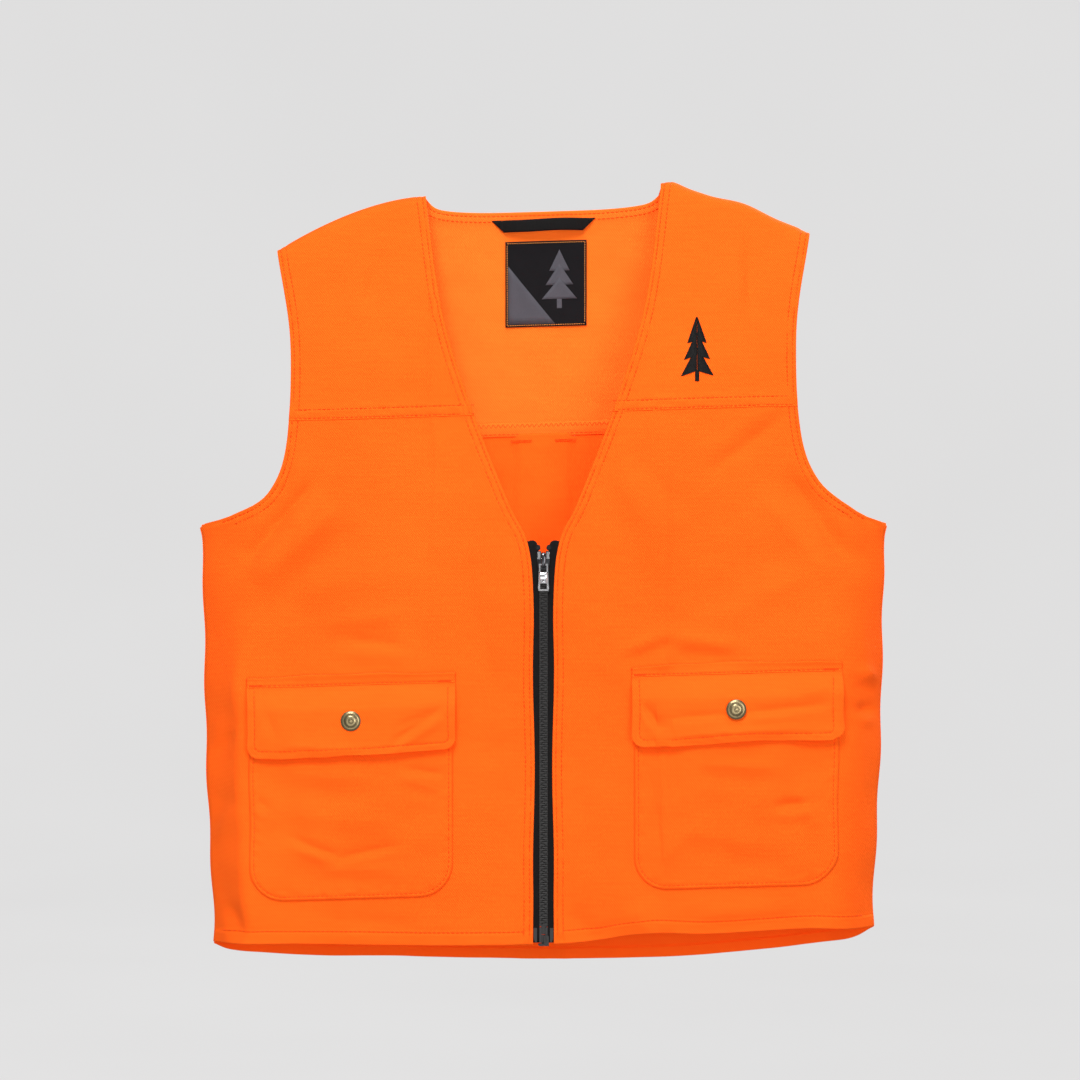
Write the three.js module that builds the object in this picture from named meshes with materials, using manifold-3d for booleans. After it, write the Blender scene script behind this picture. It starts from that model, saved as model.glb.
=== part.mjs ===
// A blaze orange hunting vest, zipped and hanging from its shoulders.
// Millimetres, +Z up. The front faces -Y and the wearer's left is +X. The origin is the middle of the
// line that a hanger's arms bear on, level with the cloth's underside beside the neck.

import * as THREE from "three";
import Module from "manifold-3d";
import { mergeVertices } from "three/addons/utils/BufferGeometryUtils.js";

const wasm = await Module();
wasm.setup();

// ---------------------------------------------------------------- driving dimensions

const CLOTH = 1.2; // one layer of twill with its turnings
const GAP = 0.4; // clearance between pieces that touch
const SWAY = 0.03; // rise per millimetre towards the wearer's left, as the vest hangs

const HALF_CHEST = 267; // centre line to side seam at the armhole
const HALF_HEM = 256;
const HALF_NECK = 92;
const HALF_SHOULDER = 206;
const SHOULDER_FALL = 39;
const ARMHOLE_Z = -259;
const FRONT_HEM_Z = -584;
const BACK_HEM_Z = -602;
const FRONT_YOKE_Z = -173;
const BACK_YOKE_Z = -188;
const BACK_NECK_Z = -13;
const BACK_NECK_CORNER_Z = -2; // where the back of the neck meets the shoulder

const FRONT_DEPTH = 28; // hanger plane to the inside of the chest
const BACK_DEPTH = 24;
const RIDGE_RADIUS = 7; // cloth over the hanger's arm
const DEPTH_REACHED = 240; // below the shoulder line, where the depth is full
const FLAT_SHARE = 0.88; // of the half width, before the cloth turns to the side seam
const SEAM_LEVEL = 0.03; // depth that is left at the side seam

const ZIP_TOP_Z = -272;
const ZIP_BOTTOM_Z = -583;
const ZIP_SHOWN = 7.8; // centre line to the cloth's edge
const TAPE_OUTER = 16;
const TAPE_INNER = 3.8;
const TAPE_FRONT = -0.4; // offsets from the inside of the front, positive outwards
const TAPE_BACK = -1.2;
const TOOTH_PITCH = 3.5;
const TOOTH_HEIGHT = 1.9;
const TOOTH_TIP = 0.6;
const TOOTH_ROOT = 2.2;
const CHAIN_OUTER = 3.4;
const CHAIN_FRONT = 0.6;
const CHAIN_BACK = -2.2;

const SLIDER_TOP_Z = -279.5;
const SLIDER_LENGTH = 14.5;
const SLIDER_HALF_WIDTH = 5.2;
const SLIDER_PLATE = 1.0;
const SLIDER_FRONT = 1.0;
const SLIDER_BACK = -2.6;
const PULL_PIVOT_Z = -290;
const PULL_LENGTH = 21;
const PULL_THICKNESS = 1.2;

const POCKET_X = 148.5;
const POCKET_WIDTH = 157;
const POCKET_BOTTOM_Z = -545;
const POCKET_CORNER = 26;
const POCKET_DEPTH = 6.6; // from the panel's face to the pocket's face
const FLAP_TOP_Z = -371;
const FLAP_HINGE_Z = -379;
const FLAP_BOTTOM_Z = -432.5;
const FLAP_WIDTH = 161;
const FLAP_CORNER = 10;
const MOUTH_BELOW_HINGE = 14;
const SNAP_Z = -406;
const SNAP_CAP_RADIUS = 7.8;

// ---------------------------------------------------------------- solids

const MERGE = 1e-3;

// A closed three.js geometry as a manifold-3d solid.
function solid(geometry) {
  const bare = new THREE.BufferGeometry();
  const source = geometry.index ? geometry.toNonIndexed() : geometry;
  bare.setAttribute("position", source.getAttribute("position"));
  const merged = mergeVertices(bare, MERGE);
  return new wasm.Manifold(
    new wasm.Mesh({
      numProp: 3,
      vertProperties: merged.attributes.position.array,
      triVerts: new Uint32Array(merged.index.array),
    }),
  );
}

function geometryOf(made) {
  const mesh = made.getMesh();
  const geometry = new THREE.BufferGeometry();
  const points = new Float32Array(mesh.numVert * 3);
  for (let i = 0; i < mesh.numVert; i++)
    points.set(mesh.vertProperties.subarray(i * mesh.numProp, i * mesh.numProp + 3), i * 3);
  geometry.setAttribute("position", new THREE.BufferAttribute(points, 3));
  geometry.setIndex(new THREE.BufferAttribute(mesh.triVerts, 1));
  geometry.computeVertexNormals();
  return geometry;
}

function box(x0, x1, y0, y1, z0, z1) {
  const geometry = new THREE.BoxGeometry(x1 - x0, y1 - y0, z1 - z0);
  return solid(geometry.translate((x0 + x1) / 2, (y0 + y1) / 2, (z0 + z1) / 2));
}

// A shape drawn in x and z, solid from y0 to y1.
function prism(shape, y0 = -100, y1 = 100) {
  const geometry = new THREE.ExtrudeGeometry(shape, {
    depth: y1 - y0,
    bevelEnabled: false,
    curveSegments: 8,
  });
  return solid(geometry.rotateX(Math.PI / 2).translate(0, y1, 0));
}

// The y of a point that stands out from the inside of the flat front by an offset.
const frontY = (offset) => -(0.2 + FRONT_DEPTH + offset);

// A box on the flat front, between two offsets from the cloth's inside.
const frontBox = (x0, x1, near, far, z0, z1) => box(x0, x1, frontY(far), frontY(near), z0, z1);
const frontPrism = (shape, near, far) => prism(shape, frontY(far), frontY(near));

// ---------------------------------------------------------------- the body's surface

const clamp01 = (value) => Math.min(1, Math.max(0, value));

function shoulderZ(fromCentre) {
  const along = clamp01((fromCentre - HALF_NECK - 3) / (HALF_SHOULDER - HALF_NECK - 3));
  return -SHOULDER_FALL * along ** 1.7;
}

function halfWidth(z) {
  const down = clamp01((z - ARMHOLE_Z) / (BACK_HEM_Z - ARMHOLE_Z));
  return HALF_CHEST + (HALF_HEM - HALF_CHEST) * down;
}

function depthAt(below, full) {
  const round = 1 - Math.min(below, RIDGE_RADIUS) / RIDGE_RADIUS;
  const swell = 1 - Math.min(below, DEPTH_REACHED) / DEPTH_REACHED;
  return RIDGE_RADIUS * Math.sqrt(1 - round * round) + (full - RIDGE_RADIUS) * (1 - swell * swell);
}

function sideTurn(across) {
  const past = Math.max(0, Math.abs(across) - FLAT_SHARE) / (1 - FLAT_SHARE);
  return 1 - (1 - SEAM_LEVEL) * past ** 1.8;
}

// A point on the cloth's inside: across is -1 to 1 between the side seams, below is the drop from
// the shoulder line, and facing is -1 for the front and 1 for the back.
function surfacePoint(across, below, facing) {
  const z = shoulderZ(Math.abs(across) * HALF_CHEST) - below;
  const full = facing < 0 ? FRONT_DEPTH : BACK_DEPTH;
  const y = facing * (0.2 + depthAt(below, full) * sideTurn(across));
  return new THREE.Vector3(across * halfWidth(z), y, z);
}

// That point, moved off the surface along its outward normal.
function surfaceOut(across, below, facing, offset) {
  const step = 1e-3;
  const drop = 0.05;
  const a0 = Math.min(across, 1 - step);
  const point = surfacePoint(across, below, facing);
  const alongX = surfacePoint(a0 + step, below, facing).sub(surfacePoint(a0, below, facing));
  const alongZ = surfacePoint(across, below + drop, facing).sub(point);
  const normal = alongX.cross(alongZ).normalize();
  if (normal.y * facing < 0 || normal.z < -0.5) normal.negate();
  return point.addScaledVector(normal, offset);
}

const COLUMNS = [0, 0.2, 0.35, 0.43, 0.51, 0.59, 0.67, 0.75, 0.82, 0.88, 0.91, 0.94, 0.97, 1];
const ROWS = [0, 0.6, 2.2, 4.6, RIDGE_RADIUS, 25, 50, 80, 110, 145, 180, 215, DEPTH_REACHED, 640];

// A sheet of the front or back between two offsets from the cloth's inside.
function slab(facing, near, far) {
  const columns = [...COLUMNS.slice(1).reverse().map((u) => -u), ...COLUMNS];
  const wide = columns.length;
  const high = ROWS.length;
  const points = [];
  for (const offset of [near, far])
    for (const below of ROWS)
      for (const across of columns)
        points.push(...surfaceOut(across, below, facing, offset).toArray());
  const at = (layer, row, column) => (layer * high + row) * wide + column;
  const faces = [];
  const quad = (a, b, c, d) => faces.push(a, b, c, a, c, d);
  for (let row = 0; row < high - 1; row++)
    for (let column = 0; column < wide - 1; column++) {
      quad(at(0, row, column), at(0, row, column + 1), at(0, row + 1, column + 1), at(0, row + 1, column));
      quad(at(1, row, column), at(1, row + 1, column), at(1, row + 1, column + 1), at(1, row, column + 1));
    }
  for (let row = 0; row < high - 1; row++) {
    quad(at(0, row, 0), at(0, row + 1, 0), at(1, row + 1, 0), at(1, row, 0));
    quad(at(0, row, wide - 1), at(1, row, wide - 1), at(1, row + 1, wide - 1), at(0, row + 1, wide - 1));
  }
  for (let column = 0; column < wide - 1; column++) {
    quad(at(0, 0, column), at(1, 0, column), at(1, 0, column + 1), at(0, 0, column + 1));
    const foot = [at(0, high - 1, column), at(0, high - 1, column + 1)];
    quad(...foot, at(1, high - 1, column + 1), at(1, high - 1, column));
  }
  if (facing > 0) faces.reverse();
  const geometry = new THREE.BufferGeometry();
  geometry.setAttribute("position", new THREE.Float32BufferAttribute(points, 3));
  geometry.setIndex(faces);
  return solid(geometry);
}

// ---------------------------------------------------------------- outlines, drawn for x >= 0

const ABOVE = 30; // past the shoulder line, so that the cloth's own edge ends the piece
const BESIDE = 300;

const points2 = (list) => list.map(([x, z]) => new THREE.Vector2(x, z));
const NECK_EDGE = points2([
  [HALF_NECK, 0], [79, -90], [56.5, -165], [27.5, -240], [12.5, ZIP_TOP_Z], [ZIP_SHOWN, -315],
]);
const ARMHOLE_EDGE = points2([
  [HALF_CHEST + 1, ARMHOLE_Z], [242, -249.5], [213, -229], [199, -188], [197, -110], [HALF_SHOULDER, -38],
]);

function frontOutline() {
  const shape = new THREE.Shape();
  shape.moveTo(HALF_NECK, ABOVE);
  shape.lineTo(HALF_NECK, 0);
  shape.splineThru(NECK_EDGE.slice(1));
  shape.lineTo(ZIP_SHOWN, FRONT_HEM_Z);
  shape.lineTo(BESIDE, FRONT_HEM_Z);
  shape.lineTo(BESIDE, ARMHOLE_Z);
  shape.lineTo(HALF_CHEST + 1, ARMHOLE_Z);
  shape.splineThru(ARMHOLE_EDGE.slice(1));
  shape.lineTo(HALF_SHOULDER, ABOVE);
  return shape;
}

function backOutline() {
  const shape = new THREE.Shape();
  shape.moveTo(-1, BACK_NECK_Z);
  shape.lineTo(-1, BACK_HEM_Z);
  shape.lineTo(BESIDE, BACK_HEM_Z);
  shape.lineTo(BESIDE, ARMHOLE_Z);
  shape.lineTo(HALF_CHEST + 1, ARMHOLE_Z);
  shape.splineThru(ARMHOLE_EDGE.slice(1));
  shape.lineTo(HALF_SHOULDER, ABOVE);
  shape.lineTo(HALF_NECK, ABOVE);
  shape.lineTo(HALF_NECK, BACK_NECK_CORNER_Z);
  shape.splineThru(points2([[80, BACK_NECK_Z + 4], [50, BACK_NECK_Z + 0.6], [0, BACK_NECK_Z]]));
  return shape;
}

// A rectangle with its lower corners rounded.
function pocketShape(centreX, width, top, bottom, corner) {
  const left = centreX - width / 2;
  const right = centreX + width / 2;
  const shape = new THREE.Shape();
  shape.moveTo(left, top);
  shape.lineTo(left, bottom + corner);
  shape.absarc(left + corner, bottom + corner, corner, Math.PI, 1.5 * Math.PI);
  shape.absarc(right - corner, bottom + corner, corner, 1.5 * Math.PI, 2 * Math.PI);
  shape.lineTo(right, top);
  return shape;
}

// ---------------------------------------------------------------- the assembly's own bookkeeping

const vest = new THREE.Group();
const swayed = new THREE.Matrix4().set(1, 0, 0, 0, 0, 1, 0, 0, SWAY, 0, 1, 0, 0, 0, 0, 1);

const finish = {
  twill: { color: 0xff6a14, roughness: 0.85, metalness: 0 },
  tape: { color: 0x151314, roughness: 0.9, metalness: 0 },
  tooth: { color: 0x1a1718, roughness: 0.45, metalness: 0 },
  film: { color: 0x1c1a1d, roughness: 0.3, metalness: 0 },
  nickel: { color: 0xd6d6da, roughness: 0.22, metalness: 1 },
  brass: { color: 0x8c7a4e, roughness: 0.38, metalness: 1 },
  label: { color: 0x17161a, roughness: 0.8, metalness: 0 },
  thread: { color: 0x121112, roughness: 0.7, metalness: 0 },
};

function add(name, geometry, look) {
  const mesh = new THREE.Mesh(geometry, new THREE.MeshStandardMaterial(finish[look]));
  mesh.name = name;
  vest.add(mesh);
  return mesh;
}

// Cloth and what is sewn flat on it hang with the sway.
const addCloth = (name, made, look = "twill") => add(name, geometryOf(made).applyMatrix4(swayed), look);

// Hardware keeps its shape and only moves up or down with the cloth that holds it.
const addHard = (name, made, look, x = 0) => add(name, geometryOf(made).translate(0, 0, SWAY * x), look);

const sides = [
  { name: "left", x: 1 },
  { name: "right", x: -1 },
];

const mirrored = (made, side) => (side.x > 0 ? made : made.mirror([1, 0, 0]));

// ---------------------------------------------------------------- yokes and panels

function addFronts() {
  const whole = slab(-1, 0, CLOTH).intersect(prism(frontOutline()));
  const seam = GAP / 2;
  const above = box(-BESIDE, BESIDE, -100, 100, FRONT_YOKE_Z + seam, 100);
  const below = box(-BESIDE, BESIDE, -100, 100, -700, FRONT_YOKE_Z - seam);
  for (const side of sides) {
    addCloth(`${side.name}_front_yoke`, mirrored(whole.intersect(above), side));
    addCloth(`${side.name}_front_panel`, mirrored(whole.intersect(below), side));
  }
}

const PLEAT_HALF_WIDTH = 22;
const PLEAT_THICKNESS = 2; // the two more layers that lie inside the back

function addBack() {
  const half = prism(backOutline());
  const outline = half.add(half.mirror([1, 0, 0]));
  const whole = slab(1, 0, CLOTH).intersect(outline);
  const seam = GAP / 2;
  addCloth("back_yoke", whole.intersect(box(-BESIDE, BESIDE, -100, 100, BACK_YOKE_Z + seam, 100)));
  const under = box(-BESIDE, BESIDE, -100, 100, -700, BACK_YOKE_Z - seam);
  const folds = box(-PLEAT_HALF_WIDTH, PLEAT_HALF_WIDTH, -100, 100, BACK_HEM_Z, BACK_YOKE_Z - seam);
  const pleat = slab(1, -PLEAT_THICKNESS, CLOTH / 2).intersect(folds);
  addCloth("back_panel", whole.intersect(under).add(pleat));
}

// ---------------------------------------------------------------- neck: label and hanging loop

const LABEL_HALF_WIDTH = 32;
const LABEL_X = 2;
const LABEL_TOP_Z = -35.7;
const LABEL_BOTTOM_Z = -102.7;
const LABEL_THICKNESS = 0.6;
const LOOP_TOP_Z = -19;
const LOOP_HEIGHT = 9.7;
const LOOP_TOP_HALF = 41;
const LOOP_BOTTOM_HALF = 31;
const LOOP_BOW = 6.2;
const LOOP_THICKNESS = 0.9;

function addLabel() {
  const left = LABEL_X - LABEL_HALF_WIDTH;
  const area = box(left, left + 2 * LABEL_HALF_WIDTH, -100, 100, LABEL_BOTTOM_Z, LABEL_TOP_Z);
  addCloth("neck_label", slab(1, -GAP - LABEL_THICKNESS, -GAP).intersect(area), "label");
}

// A tape sewn down at its two mitred ends, which bows off the yoke between them.
function addHangingLoop() {
  const sewnY = surfacePoint(0, -LOOP_TOP_Z, 1).y - GAP * 1.5;
  const arch = (x) => Math.cos((Math.PI / 2) * clamp01(Math.abs(x) / LOOP_BOTTOM_HALF)) ** 0.6;
  const bow = (x) => sewnY - LOOP_BOW * arch(x);
  const plan = new THREE.Shape();
  const steps = 24;
  const xs = Array.from({ length: steps + 1 }, (_, i) => LOOP_TOP_HALF * ((2 * i) / steps - 1));
  plan.moveTo(xs[0], bow(xs[0]));
  for (const x of xs.slice(1)) plan.lineTo(x, bow(x));
  for (const x of [...xs].reverse()) plan.lineTo(x, bow(x) - LOOP_THICKNESS);
  const strip = new THREE.ExtrudeGeometry(plan, { depth: LOOP_HEIGHT, bevelEnabled: false });
  const mitred = new THREE.Shape(points2([
    [-LOOP_TOP_HALF, LOOP_TOP_Z], [-LOOP_BOTTOM_HALF, LOOP_TOP_Z - LOOP_HEIGHT],
    [LOOP_BOTTOM_HALF, LOOP_TOP_Z - LOOP_HEIGHT], [LOOP_TOP_HALF, LOOP_TOP_Z],
  ]));
  const band = solid(strip.translate(0, 0, LOOP_TOP_Z - LOOP_HEIGHT));
  addCloth("hanging_loop", band.intersect(prism(mitred)), "tape");
}

// ---------------------------------------------------------------- chest mark: a plain pine tree

const MARK_X = 119;
const MARK_TOP_Z = -102;
const MARK_THICKNESS = 0.7;
const MARK_TIERS = 3;
const TIER_HEIGHT = 18;
const TIER_STEP = 13;
const TIER_HALF_WIDTH = 7; // of the top tier
const TIER_GROWTH = 2.5; // each tier is this much wider to either side than the one above it
const TRUNK_HALF_WIDTH = 1.8;
const TRUNK_HEIGHT = 7;

function addChestMark() {
  let tree = null;
  for (let tier = 0; tier < MARK_TIERS; tier++) {
    const top = MARK_TOP_Z - tier * TIER_STEP;
    const half = TIER_HALF_WIDTH + tier * TIER_GROWTH;
    const triangle = new THREE.Shape(points2([
      [MARK_X, top], [MARK_X - half, top - TIER_HEIGHT], [MARK_X + half, top - TIER_HEIGHT],
    ]));
    const cut = prism(triangle);
    tree = tree ? tree.add(cut) : cut;
  }
  const foot = MARK_TOP_Z - (MARK_TIERS - 1) * TIER_STEP - TIER_HEIGHT;
  const trunkLeft = MARK_X - TRUNK_HALF_WIDTH;
  const trunk = box(trunkLeft, MARK_X + TRUNK_HALF_WIDTH, -100, 100, foot - TRUNK_HEIGHT, foot + 1);
  const near = CLOTH + GAP;
  addCloth("chest_mark", slab(-1, near, near + MARK_THICKNESS).intersect(tree.add(trunk)), "thread");
}

// ---------------------------------------------------------------- zip

// A half of the chain: a spine on the tape's edge with a comb of teeth towards the centre.
function chainShape(top, bottom) {
  const shape = new THREE.Shape();
  shape.moveTo(CHAIN_OUTER, bottom);
  shape.lineTo(CHAIN_OUTER, top);
  shape.lineTo(TOOTH_ROOT, top);
  const count = Math.floor((top - bottom) / TOOTH_PITCH);
  for (let i = 0; i < count; i++) {
    const z = top - 0.4 - i * TOOTH_PITCH;
    shape.lineTo(TOOTH_ROOT, z);
    shape.lineTo(TOOTH_TIP, z - 0.25);
    shape.lineTo(TOOTH_TIP, z - TOOTH_HEIGHT + 0.25);
    shape.lineTo(TOOTH_ROOT, z - TOOTH_HEIGHT);
  }
  shape.lineTo(TOOTH_ROOT, bottom);
  return shape;
}

const RELIEF_INNER = 5.7; // the pin side's tape keeps clear of the parked slider
const FILM_TOP_Z = -571.5;
const BOX_TOP_Z = -577;
const BOX_BOTTOM_Z = -585.5;
const BOX_HALF_WIDTH = 4.2;
const STOP_BOTTOM_Z = -278.9;
const STOP_TOP_Z = -274.6;
const STOP_INNER = 2.4;
const STOP_OUTER = 6.2;
const TAPE_SLOT = 0.3; // room on either face of the tape where hardware wraps it
const FILM_THICKNESS = 0.3;
const TAPE_END_INNER = 4.8; // the tape is narrower beside the box

function tapeShape(pinSide) {
  const sliderFoot = SLIDER_TOP_Z - SLIDER_LENGTH - 0.7;
  const shape = new THREE.Shape();
  shape.moveTo(TAPE_OUTER, ZIP_TOP_Z);
  shape.lineTo(TAPE_OUTER, ZIP_BOTTOM_Z);
  shape.lineTo(TAPE_END_INNER, ZIP_BOTTOM_Z);
  shape.lineTo(TAPE_END_INNER, BOX_TOP_Z + GAP);
  shape.lineTo(TAPE_INNER, BOX_TOP_Z + GAP);
  shape.lineTo(TAPE_INNER, sliderFoot);
  if (pinSide) {
    shape.lineTo(RELIEF_INNER, sliderFoot + 0.2);
    shape.lineTo(RELIEF_INNER, SLIDER_TOP_Z + 0.2);
  }
  shape.lineTo(TAPE_INNER, SLIDER_TOP_Z + 0.6);
  shape.lineTo(5.4, ZIP_TOP_Z - 1);
  return shape;
}

function topStop() {
  const block = frontBox(STOP_INNER, STOP_OUTER, -2.0, 0.5, STOP_BOTTOM_Z, STOP_TOP_Z);
  const slot = frontBox(TAPE_INNER - GAP, 9, TAPE_BACK - TAPE_SLOT, TAPE_FRONT + TAPE_SLOT, -290, -260);
  return block.subtract(slot);
}

const PIN_HALF = 0.9;
const PIN_X = 2.3;

const PIN_BACK = -1.7;
const PIN_FRONT = 0.1;
const BOX_BACK = -3;
const BOX_FRONT = 1.4;
const BOX_FLOOR = 2;

// A flat pin along the edge of one tape, from the end of its teeth to its own foot.
const pin = (top, bottom) =>
  frontBox(PIN_X - PIN_HALF, PIN_X + PIN_HALF, PIN_BACK, PIN_FRONT, bottom, top);

// The box holds its own side's pin in a bore. The other pin stands on the box's floor between no
// walls, so that either front can swing away from it.
function retainerBox() {
  const floorTop = BOX_BOTTOM_Z + BOX_FLOOR;
  const block = frontBox(0.4, BOX_HALF_WIDTH, BOX_BACK, BOX_FRONT, BOX_BOTTOM_Z, BOX_TOP_Z);
  const floor = frontBox(-BOX_HALF_WIDTH, 1, BOX_BACK, BOX_FRONT, BOX_BOTTOM_Z, floorTop);
  const clear = PIN_HALF + 0.3;
  const near = PIN_BACK - 0.3;
  const bore = frontBox(PIN_X - clear, PIN_X + clear, near, PIN_FRONT + 0.3, floorTop, BOX_TOP_Z + 5);
  return block.add(floor).subtract(bore);
}

function addZip() {
  const chainTop = SLIDER_TOP_Z - SLIDER_LENGTH - 0.6;
  const chainBottom = FILM_TOP_Z + 1;
  const boxFloor = BOX_BOTTOM_Z + BOX_FLOOR + GAP;
  const filmBack = TAPE_FRONT + TAPE_SLOT;
  const filmFront = filmBack + FILM_THICKNESS;
  for (const side of sides) {
    const pinSide = side.x < 0;
    const lift = pinSide ? TOOTH_PITCH / 2 : 0; // the two combs stand half a pitch apart
    const chain = frontPrism(chainShape(chainTop - lift, chainBottom), CHAIN_BACK, CHAIN_FRONT);
    const tape = frontPrism(tapeShape(pinSide), TAPE_BACK, TAPE_FRONT);
    const film = frontBox(4.9, ZIP_SHOWN - GAP, filmBack, filmFront, ZIP_BOTTOM_Z, FILM_TOP_Z);
    addHard(`${side.name}_zip_tape`, mirrored(tape, side), "tape");
    addHard(`${side.name}_zip_chain`, mirrored(chain, side), "tooth");
    addHard(`${side.name}_zip_end_film`, mirrored(film, side), "film");
    addHard(`${side.name}_zip_top_stop`, mirrored(topStop(), side), "tooth");
  }
  const pinTop = chainBottom - GAP;
  addHard("zip_box_pin", pin(pinTop, boxFloor), "tooth");
  addHard("zip_insertion_pin", pin(pinTop, boxFloor).mirror([1, 0, 0]), "tooth");
  addHard("zip_retainer_box", retainerBox(), "tooth");
}

const SLIDER_CAVITY = 3.8; // half the width of the room for the teeth
const SLIDER_WEB = 0.6;
const SLIDER_FACE = SLIDER_FRONT + SLIDER_PLATE;
const CROWN_HALF_WIDTH = 1.6;
const CROWN_INSIDE = 4.3; // offset of the arch's underside
const CROWN_OUTSIDE = 5.1;
const CROWN_LENGTH = 12;
const SPRING_HALF_WIDTH = 0.8;
const SPRING_THICKNESS = 0.4;
const SPRING_TOP_Z = -282.4;
const SPRING_LENGTH = 5;

// Two plates joined by a thin web between the tooth rows, with flanges that leave a slot for each tape.
function sliderBody() {
  const top = SLIDER_TOP_Z;
  const bottom = SLIDER_TOP_Z - SLIDER_LENGTH;
  const half = SLIDER_HALF_WIDTH;
  const waist = half - 1.1;
  const plate = new THREE.Shape(points2([
    [-waist, top], [-half, top - 3], [-half, top - 6], [-waist, bottom],
    [waist, bottom], [half, top - 6], [half, top - 3], [waist, top],
  ]));
  const frontPlate = frontPrism(plate, SLIDER_FRONT, SLIDER_FACE);
  const backPlate = frontPrism(plate, SLIDER_BACK - SLIDER_PLATE, SLIDER_BACK);
  const outline = frontPrism(plate, SLIDER_BACK, SLIDER_FRONT);
  const inside = frontBox(-SLIDER_CAVITY, SLIDER_CAVITY, -9, 9, bottom - 1, top + 1);
  const slot = frontBox(-9, 9, TAPE_BACK - TAPE_SLOT, TAPE_FRONT + TAPE_SLOT, bottom - 1, top + 1);
  const flanges = outline.subtract(inside).subtract(slot);
  const webHalf = SLIDER_WEB / 2;
  const web = frontBox(-webHalf, webHalf, SLIDER_BACK - 0.5, SLIDER_FRONT + 0.5, top - 5, top - 0.6);
  return frontPlate.add(backPlate).add(flanges).add(web);
}

// The arch on the slider's face that keeps the pull.
function sliderCrown() {
  const foot = SLIDER_FACE + GAP;
  const top = SLIDER_TOP_Z - 1;
  const bottom = top - CROWN_LENGTH;
  const half = CROWN_HALF_WIDTH;
  const arch = frontBox(-half, half, foot, CROWN_OUTSIDE, bottom, top);
  return arch.subtract(frontBox(-9, 9, foot - 1, CROWN_INSIDE, bottom + 1, top - 1.4));
}

function lockSpring() {
  const near = SLIDER_FACE + GAP;
  const bottom = SPRING_TOP_Z - SPRING_LENGTH;
  return frontBox(-SPRING_HALF_WIDTH, SPRING_HALF_WIDTH, near, near + SPRING_THICKNESS, bottom, SPRING_TOP_Z);
}

function pullTab() {
  const near = SLIDER_FACE + GAP;
  const top = PULL_PIVOT_Z + PULL_THICKNESS / 2;
  const foot = top - PULL_LENGTH;
  const tab = new THREE.Shape();
  tab.moveTo(-3.5, top);
  tab.lineTo(-3.7, top - 12);
  tab.lineTo(-4.3, foot + 1.4);
  tab.quadraticCurveTo(-4.3, foot, -3, foot);
  tab.lineTo(3, foot);
  tab.quadraticCurveTo(4.3, foot, 4.3, foot + 1.4);
  tab.lineTo(3.7, top - 12);
  tab.lineTo(3.5, top);
  const eye = frontBox(-2.4, 2.4, -9, 20, top - 6, top - 1.2);
  const window = frontBox(-2.6, 2.6, -9, 20, foot + 1.3, foot + 6);
  return frontPrism(tab, near, near + PULL_THICKNESS).subtract(eye).subtract(window);
}

function addSlider() {
  addHard("zip_slider_body", sliderBody(), "nickel");
  addHard("zip_slider_crown", sliderCrown(), "nickel");
  addHard("zip_lock_spring", lockSpring(), "nickel");
  addHard("zip_pull_tab", pullTab(), "nickel");
}

// ---------------------------------------------------------------- pockets, flaps and snaps

const POCKET_BACK = CLOTH + GAP;
const POCKET_FACE = CLOTH + POCKET_DEPTH + GAP;
const LINING_BACK = POCKET_FACE + 3.7; // room for the snap between the pocket and the flap
const FLAP_BACK = LINING_BACK + 1 + GAP;
const FLAP_FACE = FLAP_BACK + 1.1;
const SNAP_HOLE = 1.9;

const snapHole = (near, far) => {
  const hole = new THREE.Shape().absarc(POCKET_X, SNAP_Z, SNAP_HOLE, 0, 2 * Math.PI);
  return frontPrism(hole, near, far);
};

function pocketBag() {
  const mouth = FLAP_HINGE_Z - MOUTH_BELOW_HINGE;
  const outer = pocketShape(POCKET_X, POCKET_WIDTH, mouth, POCKET_BOTTOM_Z, POCKET_CORNER);
  const wall = 1.4;
  const inner = pocketShape(
    POCKET_X, POCKET_WIDTH - 2 * wall, mouth + 9, POCKET_BOTTOM_Z + wall, POCKET_CORNER - wall,
  );
  const bag = frontPrism(outer, POCKET_BACK, POCKET_FACE);
  return bag.subtract(frontPrism(inner, 0, POCKET_FACE - CLOTH)).subtract(snapHole(0, 30));
}

// The flap's section, from the stitching that it folds about, over the pocket's mouth and down.
function flapSheet(near, far) {
  const foldOffset = CLOTH + GAP;
  const rise = (below) => THREE.MathUtils.smoothstep(below, 0, 17);
  const drops = [0, 2, 4, 6, 8, 10, 12, 14.5, 17];
  const from = (layer) => drops.map((d) => {
    const start = foldOffset + (layer - LINING_BACK) * 0.85;
    return [start + (layer - start) * rise(d), FLAP_HINGE_Z - GAP - d];
  });
  const section = [...from(near), [near, FLAP_BOTTOM_Z], [far, FLAP_BOTTOM_Z], ...from(far).reverse()];
  const shape = new THREE.Shape(section.map(([offset, z]) => new THREE.Vector2(offset, z)));
  const strip = new THREE.ExtrudeGeometry(shape, { depth: FLAP_WIDTH, bevelEnabled: false });
  const right = POCKET_X + FLAP_WIDTH / 2;
  const placed = new THREE.Matrix4().set(0, 0, -1, right, -1, 0, 0, frontY(0), 0, 1, 0, 0, 0, 0, 0, 1);
  return solid(strip.applyMatrix4(placed));
}

function flapLayer(near, far, inset) {
  const shape = pocketShape(POCKET_X, FLAP_WIDTH - 2 * inset, FLAP_TOP_Z, FLAP_BOTTOM_Z + inset, FLAP_CORNER);
  return flapSheet(near, far).intersect(prism(shape)).subtract(snapHole(0, 30));
}

// A turned piece on the snap's axis: [radius, offset] from its lowest centre round to its highest.
function turned(profile, side) {
  const lathe = new THREE.LatheGeometry(points2(profile), 20);
  lathe.rotateX(Math.PI);
  return lathe.translate(side.x * POCKET_X, frontY(0), SNAP_Z + SWAY * side.x * POCKET_X);
}

const STUD_BASE = POCKET_FACE + 0.3;

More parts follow.
